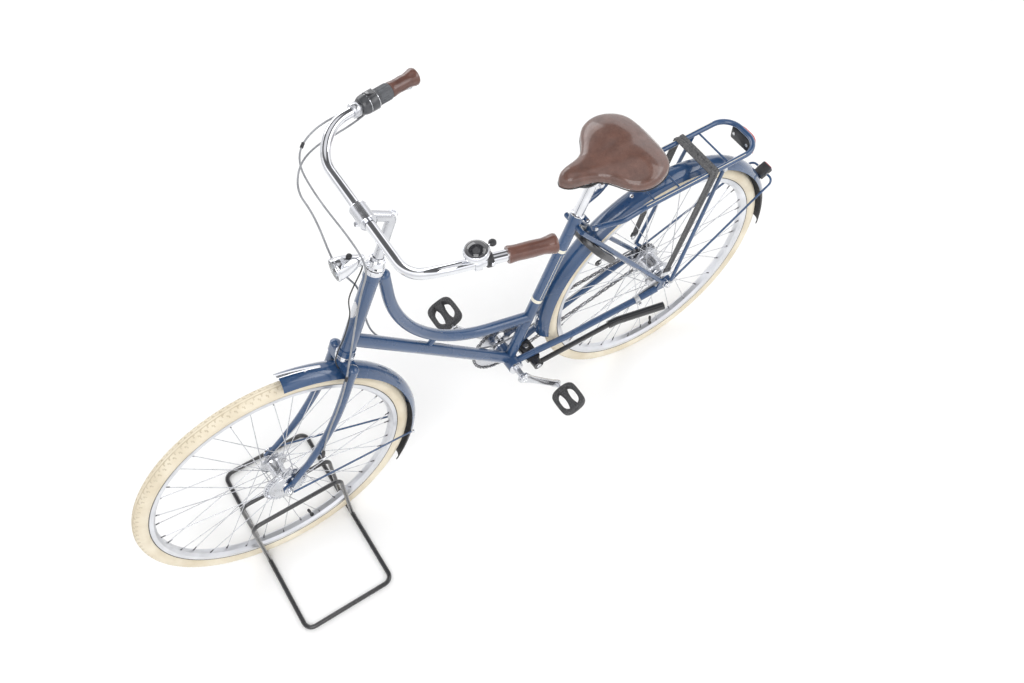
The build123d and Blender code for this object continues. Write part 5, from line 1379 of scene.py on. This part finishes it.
def make_cables():
    """The brake and gear cables in their housings."""
    bar = BAR_MIDDLE
    brake = [
        PERCH + PERCH_NOSE * 1.04, bar + offset(-18, -226, 36), bar + offset(50, -184, 24),
        bar + offset(52, -100, -10), bar + offset(28, -8, -76), bar + offset(22, 28, -128),
        steered(40, 31, 620), steered(17, 33, 455), steered(21, 65, 330), steered(31, 65, 180),
        FRONT + offset(-102, 65, 78.2)
    ]
    shape = Shape()
    shape.tube(flowing(brake), 2.1, 12)
    for at in (9, -16):
        run = flowing(brake)
        spot, ahead = run[at], run[at + 1]
        shape.lathe(spot, ahead - spot, mirrored((-6, 2.0), (-6, 3.2), (-5, 3.6)), count=16, slot=1)
    end = brake[-1]
    run = (brake[-2] - end).normalized()
    shape.lathe(
        end + run * (4 * MM), run,
        [(-6, 0), (-6, 3.4), (2, 3.4), (3, 4.2), (14, 4.2), (16, 3.4), (22, 3.2), (23, 2.2), (23, 0)],
        count=20, slot=1
    )
    shape.make(
        "brake_cable_housing", "steering", [HOUSING, PLASTIC], ["brake_cable"], "grey_plastic", sharp=60
    )
    down = (steered(0, 0, 445) - CRANK).normalized()
    split = steered(36, -27, 612)
    run = Vector((-0.35, 0, -0.94)).normalized()
    start = along_grip(135, -1) + offset(0, 0, -24.4)
    gear = [
        start, start + offset(26, -6, -20), bar + offset(24, -204, 4), bar + offset(80, -132, 0),
        bar + offset(70, -78, -32), split - run * 0.06, split, split + run * 0.06,
        CRANK + down * 0.52 - AXLE * 0.0187, CRANK + down * 0.11 - AXLE * 0.0187,
        CRANK + offset(-8, -31, 26.5), place(300, -40, 325.5), place(96, -60, 356), place(42, -76, 357),
        REAR + offset(5.2, -76, 0)
    ]
    cable = Shape()
    cable.tube(flowing(gear), 2.2, 12)
    piece = cable.make(
        "gear_cable_housing", None, [HOUSING], ["gear_cable_loop", "gear_cable_run"], "grey_plastic", sharp=60
    )
    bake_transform(piece)


make_cables()

# ---------------------------------------------------------------- front brake
def make_front_brake():
    """The drum brake's ribbed cover, its arm and its strap."""
    shape = Shape()
    shape.lathe(
        FRONT, AXLE,
        [
            (36, 5.2), (36, 54), (36.6, 55.6), (38, 56), (39.4, 55.6), (40.2, 54.2), (40.2, 51), (40.9, 50.6),
            (41.6, 51), (42.2, 49.6), (41.4, 47), (41.8, 44.6), (42.8, 44.2), (43.4, 42.8), (43.6, 38),
            (45.4, 37.0), (46, 35.6), (46, 28), (46.6, 26), (46.9, 18), (48.6, 15.4), (50.8, 14.6),
            (51.2, 13.6), (51.2, 5.2)
        ],
        count=96
    )
    for index in range(36):
        out = radial(math.tau * index / 36)
        spot = FRONT + out * (47.6 * MM) + AXLE * (41.9 * MM)
        shape.block(spot, out, AXLE, (11.0, 3.2, 1.5), 0.6, steps=1)
    arm_foot = FRONT + offset(-20, 41.5, 16)
    arm_end = FRONT + offset(-103, 41.5, 72)
    run = (arm_end - arm_foot).normalized()
    shape.tube(
        [arm_foot - run * (8 * MM), arm_foot, (arm_foot + arm_end) / 2, arm_end, arm_end + run * (5 * MM)],
        [7.6, 8.4, 6.4, 6.2, 4.6], 20, flat=0.45, normal=run.cross(AXLE)
    )
    shape.lathe(
        arm_end, AXLE,
        [(-5, 0), (-5, 5.4), (4, 5.6), (5, 4.8), (19, 4.6), (20, 5.4), (27, 5.4), (28, 4.6), (28, 0)],
        count=24, slot=1
    )
    hex_nut(shape, arm_foot + AXLE * (3.6 * MM), AXLE, 11.0, 5.0, slot=1)
    strap = [FRONT + offset(-4, 41.5, 40), FRONT + offset(-10, 46, 60), FRONT + offset(-22, 50, 78)]
    shape.tube(smooth_path(strap, 6), 4.6, 12, flat=0.45)
    shape.make("front_drum_brake", "steering", [ALLOY, CHROME], ["front_brake"], "aluminium")


make_front_brake()

# ---------------------------------------------------------------- mudguard nose, bands and badge
GUARD_OUTSIDE = 375.0
BAND_RADIUS = 14.5
BAND_PLACES = (222.0, 392.0)


def make_guard_nose():
    """A bright strip on the front mudguard's nose, with a stud through it."""
    nose = Shape()
    rows = []
    steps = 14
    for step in range(steps + 1):
        t = step / steps
        out = radial(math.radians(101.8 + 16 * t))
        half = 6.2 - 2.6 * t
        lift = 10 - 8.6 * t**0.8
        rows.append([
            FRONT + out * ((GUARD_OUTSIDE - 2 + lift + 1.6 * math.sin(angle)) * MM)
            + AXLE * (half * math.cos(angle) * MM)
            for angle in (math.tau * k / 12 for k in range(12))
        ])
    nose.grid(rows, caps=True)
    turn = math.radians(104)
    forward = radial(turn + math.pi / 2)
    nose.block(FRONT + radial(turn) * ((GUARD_OUTSIDE + 1) * MM), AXLE, forward, (4.0, 6.0, 9.0), 1.4)
    nose.make("front_guard_nose", "steering", [CHROME], slot="chrome")


make_guard_nose()


def make_collars():
    """Cream bands and fine lines on the seat tube, and a bare head badge."""
    shape = Shape()
    for at in BAND_PLACES:
        shape.lathe(up_seat(at), SEAT_RUN, mirrored((-5, BAND_RADIUS - 0.18), (-4.6, BAND_RADIUS)), count=48)
    for side in (1, -1):
        for lean in (-0.35, 0.35):
            line = [
                up_seat(232 + 150 * k / 16)
                + (AXLE * math.cos(lean) * side + STEER_FORWARD * math.sin(lean)) * (14.25 * MM)
                for k in range(17)
            ]
            shape.tube(line, 0.55, 6)
    shape.make("seat_tube_bands", "frame", [CREAM_LINE_AND_HIGHLIGHT], slot="cream_tyre")
    badge = Shape()
    rows = []
    for step in range(9):
        t = -1 + 2 * step / 8
        row = []
        for k in range(13):
            s = -1 + 2 * k / 12
            width = math.sqrt(max(0.0, 1 - t * t)) * 0.62
            turn = s * width
            radius = 18.15 + 0.5 * (1 - max(abs(s), abs(t)) ** 6)
            row.append(steered(0, 0, 540 + t * 24) + swung(STEER_FORWARD, AXLE, turn) * (radius * MM))
        rows.append(row)
    badge.grid(rows, wrap_columns=False)
    badge.make("head_badge", "frame", [ALLOY], slot="aluminium")


make_collars()


# ---------------------------------------------------------------- carrier, straps and lamp
DECK = 736.0
DECK_HALF = 62.0
STRAP_X = -88
STRAP_HALF = 14.0


def make_carrier_trim():
    """Pale lines, a painted highlight along each rail's outer top, and bolts on the carrier."""
    shape = Shape()
    for side in (1, -1):
        # Each rail's pale line is a painted highlight along its outer top, where light catches the round
        # tube.
        line = [place(110 - 300 * k / 24, side * (DECK_HALF + 2.6), DECK + 6.62) for k in range(25)]
        shape.tube(line, 0.7, 6)
        shape.lathe(
            place(-128, side * DECK_HALF, DECK - 9), AXLE * side,
            [(0, 0), (0, 6), (5.6, 6), (7, 5), (8.6, 3), (9, 0)], count=24, slot=1
        )
        foot = place(-4, side * 74, 373)
        hex_nut(shape, foot + AXLE * (side * 4 * MM), AXLE * side, 10.0, 5.0, slot=1)
        shape.lathe(foot, AXLE * side, [(3, 0), (3, 7.4), (4.2, 7.4), (4.2, 0)], count=24, slot=1)
        tip = place(232, side * 36, 718)
        shape.block(tip, Vector((0.98, side * -0.18, 0.05)), UP, (26.0, 16.0, 5.0), 2.2, 2)
        shape.lathe(
            tip + offset(4, 0, 0), AXLE * side, [(-4, 0), (-4, 5), (6, 5), (7, 4), (7, 0)], count=20, slot=1
        )
    shape.make("carrier_bolts", "frame", [CREAM_LINE_AND_HIGHLIGHT, ZINC, BLUE], slot="navy_paint")


make_carrier_trim()


def strap_row(centre, wide, out, half, thick):
    """One cross section of a strap: two ribs with a groove between them."""
    outline = mirrored(
        (-1.0, 0.0), (-1.0, 0.75), (-0.9, 1.0), (-0.5, 1.0), (-0.34, 0.95), (-0.28, 0.5), (0, 0.45)
    )
    return [centre + wide * (a * half * MM) + out * (b * thick * MM) for a, b in outline]


def strap_path(side, top, foot):
    """A strap's stations from the deck's middle to its hook: (centre, outward, wide, half width)."""
    path = []
    for k in range(12):
        path.append((place(STRAP_X, side * 68 * k / 11, DECK + 7.2), UP, AHEAD, STRAP_HALF))
    for k in range(1, 6):
        turn = math.pi / 2 * k / 5
        out, drop = 68 + 1.4 * math.sin(turn), 1.6 * (1 - math.cos(turn))
        centre = place(STRAP_X, side * out, DECK + 7.2 - drop)
        path.append((centre, swung(UP, AXLE * side, turn), AHEAD, STRAP_HALF))
    run = (foot - top).normalized()
    wide = (AHEAD - run * AHEAD.dot(run)).normalized()
    for k in range(15):
        t = k / 14
        turned = min(1.0, t * 4)
        lean = (AHEAD * (1 - turned) + wide * turned).normalized()
        centre = top.lerp(foot, t) + AXLE * (side * math.sin(math.pi * t) * MM)
        path.append((centre, AXLE * side, lean, STRAP_HALF - 4.4 * t))
    return path, run, wide


def make_straps():
    """Two ribbed rubber straps over the deck, hooked beside the rear axle."""
    shape = Shape()
    for side in (1, -1):
        foot = place(12, side * 70.5, 428)
        path, run, wide = strap_path(side, place(STRAP_X, side * 69.4, DECK + 5.2), foot)
        shape.grid([strap_row(centre, lean, out, half, 3.0) for centre, out, lean, half in path], caps=True)
        shape.block(foot + AXLE * (side * 1.4 * MM), wide, run, (24.0, 15.0, 4.6), 2.0, 1)
        corners = ((-6, 0), (-6, 12), (0, 18), (6, 12), (6, 0))
        hook = [foot + wide * (across * MM) + run * (down * MM) for across, down in corners]
        shape.tube(smooth_path(hook, 6), 1.7, 8, 2)
    shape.make("luggage_straps", "frame", [WEB, PLASTIC, ZINC], ["carrier_straps"], "black_rubber", sharp=35)


make_straps()


def lens_outline(inset, wide):
    """A crescent in plan, as (back, across) in millimetres: its bulged back, then its flat front."""
    half = wide / 2 - 0.6 - inset
    bulge = [-1 + 2 * k / 24 for k in range(25)]
    front = [1 - 2 * k / 8 for k in range(9)]
    return (
        [(12.6 - 12.5 * (1 - abs(s) ** 3.2) + inset, s * half) for s in bulge]
        + [(13.5, s * (wide / 2 - 2)) for s in front]
    )


def make_rear_lamp():
    """A black lamp body under the rear rail, its red lens a crescent behind the rail."""
    shape = Shape()
    low, high = (Vector(corner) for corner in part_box("rear_lamp"))
    centre = (low + high) / 2
    size = (high - low) / MM
    body = Vector(((high.x + low.x) / 2 + 5.5 * MM, centre.y, centre.z))
    shape.block(body, AXLE, UP, (size.y - 4, size.z - 1, size.x - 11), 7.0, steps=6)
    levels = ((0.0, 2.5), (0.6, 0.6), (3.0, 0.0), (size.z - 3.0, 0.0), (size.z - 0.6, 0.6), (size.z, 2.5))
    shape.grid([
        [Vector((low.x, centre.y, low.z)) + offset(x, y, level) for x, y in lens_outline(inset, size.y)]
        for level, inset in levels
    ], 1, caps=True)
    for side in (1, -1):
        bolt = Vector((high.x, 0, centre.z)) + offset(-0.8, side * 24, 4)
        hex_nut(shape, bolt, AHEAD, 8.0, 3.0, slot=2)
    shape.make("tail_lamp_body", "frame", [PLASTIC, RED_LENS, ZINC], ["rear_lamp"], "lamp_red")
    reflector = Shape()
    turn = math.radians(153.6)
    out = radial(turn)
    tangent = radial(turn + math.pi / 2)
    spot = REAR + out * (393.0 * MM)
    reflector.block(spot, AXLE, tangent, (30.3, 20.3, 38.0), 4.0)
    reflector.block(spot + out * (19.2 * MM), AXLE, tangent, (24.0, 15.0, 1.8), 0.8, 1)
    for side in (1, -1):
        hex_nut(reflector, spot + AXLE * (side * 15.0 * MM), AXLE * side, 9.0, 4.0, slot=2)
    reflector.make("guard_reflector", "frame", [PLASTIC, RED_LENS, ZINC], slot="black_rubber")


make_rear_lamp()

# ---------------------------------------------------------------- ring lock
STAY_FOOT = place(19, 0, 374)
STAY_TOP = up_seat(SEAT_TUBE - 34) + offset(-5, 0, 0)
STAY_RUN = (STAY_TOP - STAY_FOOT).normalized()
STAY_NORMAL = Vector((STAY_RUN.z, 0, -STAY_RUN.x))
LOCK = STAY_FOOT + STAY_RUN * (313 * MM) + STAY_NORMAL * (6.6 * MM)
LOCK_BAND = 23.0
LOCK_REACH = 36.0 + LOCK_BAND / 2
LOCK_DEPTH = 21.0
LOCK_ARM = 60.0


def lock_stations():
    """The horseshoe's centre line: (offset across, offset along the stays, outward direction)."""
    straight = [-LOCK_ARM + LOCK_ARM * k / 9 for k in range(9)]
    bow = [swung(AXLE, STAY_RUN, math.pi * k / 30) for k in range(31)]
    return (
        [(AXLE * LOCK_REACH, slide, AXLE) for slide in straight]
        + [(out * LOCK_REACH, 0, out) for out in bow]
        + [(AXLE * -LOCK_REACH, slide, AXLE * -1) for slide in reversed(straight)]
    )


def make_lock():
    """A horseshoe lock on the seat stays, with its cylinder and key."""
    shape = Shape()
    rows = []
    path = lock_stations()
    for index, (base, slide, out) in enumerate(path):
        ends = min(index, len(path) - 1 - index)
        swell = {0: 0.72, 1: 0.93}.get(ends, 1.0)
        half_wide = LOCK_BAND / 2 * swell
        half_deep = LOCK_DEPTH / 2 * swell * (0.9 + 0.1 * max(0.0, out.dot(STAY_RUN)))
        centre = LOCK + base * MM + STAY_RUN * (slide * MM) + STAY_NORMAL * (LOCK_DEPTH / 2 * MM)
        row = []
        for k in range(20):
            angle = math.tau * k / 20
            wide = half_wide * squared(math.cos(angle), 0.5)
            deep = half_deep * squared(math.sin(angle), 0.5)
            row.append(centre + out * (wide * MM) + STAY_NORMAL * (deep * MM))
        rows.append(row)
    shape.grid(rows, caps=True)
    face = LOCK + STAY_NORMAL * ((LOCK_DEPTH - 0.2) * MM)
    key = face + AXLE * (LOCK_REACH * MM) - STAY_RUN * (18 * MM)
    cylinder = [(-2, 9.4), (0.4, 9.2), (0.9, 8.4), (0.9, 3.4), (0.2, 3.2), (0.2, 0)]
    shape.lathe(key, STAY_NORMAL, cylinder, count=32, slot=1)
    for side in (1, -1):
        screw = face + AXLE * (side * LOCK_REACH * MM) - STAY_RUN * (47 * MM)
        shape.lathe(screw, STAY_NORMAL, [(-2, 5.6), (0.2, 5.4), (0.6, 4.8), (0.6, 0)], count=24, slot=2)
    shape.block(key + STAY_NORMAL * (6 * MM), STAY_NORMAL, STAY_RUN, (13.0, 3.0, 6.0), 1.0, 2)
    ring = [(0, 3.0), (0, 8.6), (0.6, 9.2), (3.4, 9.2), (4, 8.6), (4, 3.0)]
    shape.lathe(key + STAY_NORMAL * (14.5 * MM) - AXLE * (2 * MM), AXLE, ring, count=28)
    button = LOCK - AXLE * (59.0 * MM) + STAY_NORMAL * (11 * MM) - STAY_RUN * (22 * MM)
    shape.block(button, STAY_RUN, STAY_NORMAL, (26.0, 10.0, 7.0), 3.0, 3)
    plate = LOCK + STAY_RUN * (48 * MM) + STAY_NORMAL * ((LOCK_DEPTH + 0.2) * MM)
    shape.block(plate, AXLE, STAY_RUN, (34.0, 9.0, 1.8), 0.8, 3)
    looks = [LOCK_SHELL, CHROME, ZINC, GREY]
    shape.make("frame_lock_body", "frame", looks, ["ring_lock"], "black_steel", sharp=50)


make_lock()


# ---------------------------------------------------------------- bolts and small trim
CROWN_END = 13.5


def make_trim():
    """Bolts, the seat collar, the kickstand plate, and the crown's and top tube's caps."""
    shape = Shape()
    collar = up_seat(492)
    bolt = collar - offset(19.3, 0, 8)
    for side in (1, -1):
        hex_nut(shape, bolt + AXLE * (side * 16.5 * MM), AXLE * side, 10.5, 5.0)
    shape.lathe(bolt, AXLE, mirrored((-23, 0), (-23, 3)), count=16)
    top = up_seat(502.5)
    shape.lathe(top, SEAT_RUN, [(-1.5, 12.9), (-1.5, 17.6), (0.6, 17.6), (1.4, 16.4), (1.6, 12.9)], count=40)
    plate = place(408, 0, 296)
    shape.block(plate, AHEAD, AXLE, (30.0, 34.0, 3.0), 1.2, 1)
    hex_nut(shape, plate + UP * (1.4 * MM), UP, 13.0, 7.0)
    pivot = joint_place("kickstand_swing")
    shape.lathe(
        Vector((pivot.x, 59.5 * MM, pivot.z)), AXLE, [(0, 0), (0, 6.8), (1.6, 6.8), (2.4, 5.8), (2.4, 0)],
        count=24
    )
    for angle in (8.0, 74.0, 128.0):
        out = radial(math.radians(angle))
        shape.lathe(
            REAR + out * (GUARD_OUTSIDE * MM), out,
            [(-0.6, 0), (-0.4, 5.4), (0.8, 5.0), (1.9, 3.2), (2.2, 0)], count=20
        )
    hex_nut(shape, REAR + offset(92, 74.5, -11.5), AXLE, 9.0, 4.0)
    shape.make("frame_bolts", "frame", [CHROME, BLACK_PAINT], slot="chrome")
    fork = Shape()
    domes = Shape()
    for side in (1, -1):
        spot = FRONT + radial(math.radians(196.0)) * (357 * MM) + AXLE * (side * 31.5 * MM)
        fork.lathe(spot, AXLE * side, [(-1, 0), (-1, 5.5), (3.4, 5.2), (4.4, 3.6), (4.6, 0)], count=20)
        domes.lathe(
            steered(0, side * 41, 389.9), STEER_UP,
            [
                (-1.2, CROWN_END - 0.2), (-0.2, CROWN_END), (0.8, CROWN_END - 0.1), (3.6, CROWN_END - 2.0),
                (6.2, CROWN_END - 5.6), (7.6, CROWN_END - 10.5), (7.9, 0)
            ],
            count=36
        )
    nose = radial(math.radians(112))
    fork.lathe(
        FRONT + nose * (373.2 * MM), nose, [(-0.5, 0), (-0.4, 5), (1.2, 4.6), (1.9, 2.6), (2.1, 0)], count=20
    )
    fork.make("fork_bolts", "steering", [CHROME], slot="chrome")
    domes.make("crown_domes", "steering", [BLUE], slot="navy_paint")
    cap = Shape()
    cap.lathe(
        steered(-29, 0, HEAD_TOP_UP - LUG_UP - 1) + UP * (-0.2 * MM), Vector((0.0154, 0, 1)),
        [(-0.6, 14.4), (0.4, 14.4), (3.4, 13.4), (6.6, 10.6), (8.8, 6.2), (9.6, 0)], count=40
    )
    cap.make("top_tube_cap", "frame", [BLUE], slot="navy_paint")


make_trim()


# ---------------------------------------------------------------- studio
MIRROR_STOPS = ((0.0, 0.9), (0.34, 1.25), (0.48, 1.45), (0.58, 0.2), (0.87, 0.12), (0.94, 0.9))
FLOOR_REACH = 9.0


def area(name, spot, target, size, power):
    """A rectangular lamp aimed at a point."""
    data = bpy.data.lights.new(name, "AREA")
    data.shape = "RECTANGLE"
    data.size, data.size_y = size
    data.energy = power
    lamp = bpy.data.objects.new(name, data)
    bpy.context.scene.collection.objects.link(lamp)
    lamp.location = spot
    lamp.rotation_euler = (Vector(target) - Vector(spot)).to_track_quat("-Z", "Y").to_euler()


def make_world():
    """A world that lights evenly, and that metal reflects as a studio with a dark band."""
    world = bpy.data.worlds.new("studio")
    bpy.context.scene.world = world
    world.use_nodes = True
    tree = world.node_tree
    lighting = tree.nodes["Background"]
    feed(tree, lighting, {"Color": (1, 1, 1, 1), "Strength": 0.8})
    coords = tree.nodes.new("ShaderNodeTexCoord").outputs["Generated"]
    height = add_node(tree, "ShaderNodeSeparateXYZ", {"Vector": coords}).outputs["Z"]
    ramp = add_node(tree, "ShaderNodeValToRGB", {"Fac": height})
    for index, (at, value) in enumerate(MIRROR_STOPS):
        stop = ramp.color_ramp.elements[index] if index < 2 else ramp.color_ramp.elements.new(at)
        stop.position = at
        stop.color = (value, value, value * 1.02, 1)
    mirror = add_node(tree, "ShaderNodeBackground", {"Color": ramp.outputs["Color"]})
    glossy = tree.nodes.new("ShaderNodeLightPath").outputs["Is Glossy Ray"]
    shaders = {"Fac": glossy, 1: lighting.outputs["Background"], 2: mirror.outputs["Background"]}
    both = add_node(tree, "ShaderNodeMixShader", shaders)
    feed(tree, tree.nodes["World Output"], {"Surface": both.outputs["Shader"]})


def make_floor():
    """A pale floor that shows no edge."""
    mesh = bpy.data.meshes.new("floor")
    corners = [(x * FLOOR_REACH, y * FLOOR_REACH, 0) for x, y in ((-1, -1), (1, -1), (1, 1), (-1, 1))]
    mesh.from_pydata(corners, [], [(0, 1, 2, 3)])
    floor = bpy.data.objects.new("floor", mesh)
    bpy.context.scene.collection.objects.link(floor)
    look = Look("studio_floor", (0.93, 0.93, 0.93), roughness=0.7)
    look.tint(look.noise(0.8, 2.0), (0.92, 0.92, 0.92), (0.94, 0.94, 0.94))
    mesh.materials.append(look.material)


make_world()
make_floor()
area("key", (1.6, 2.2, 3.6), (0, 0, 0.5), (2.4, 2.4), 60)
area("fill", (-2.6, 1.4, 2.8), (0, 0, 0.5), (2.6, 2.0), 32)
area("back", (0.2, -3.0, 2.4), (0, 0, 0.6), (3.0, 1.6), 30)
bpy.context.scene.view_settings.view_transform = "Standard"
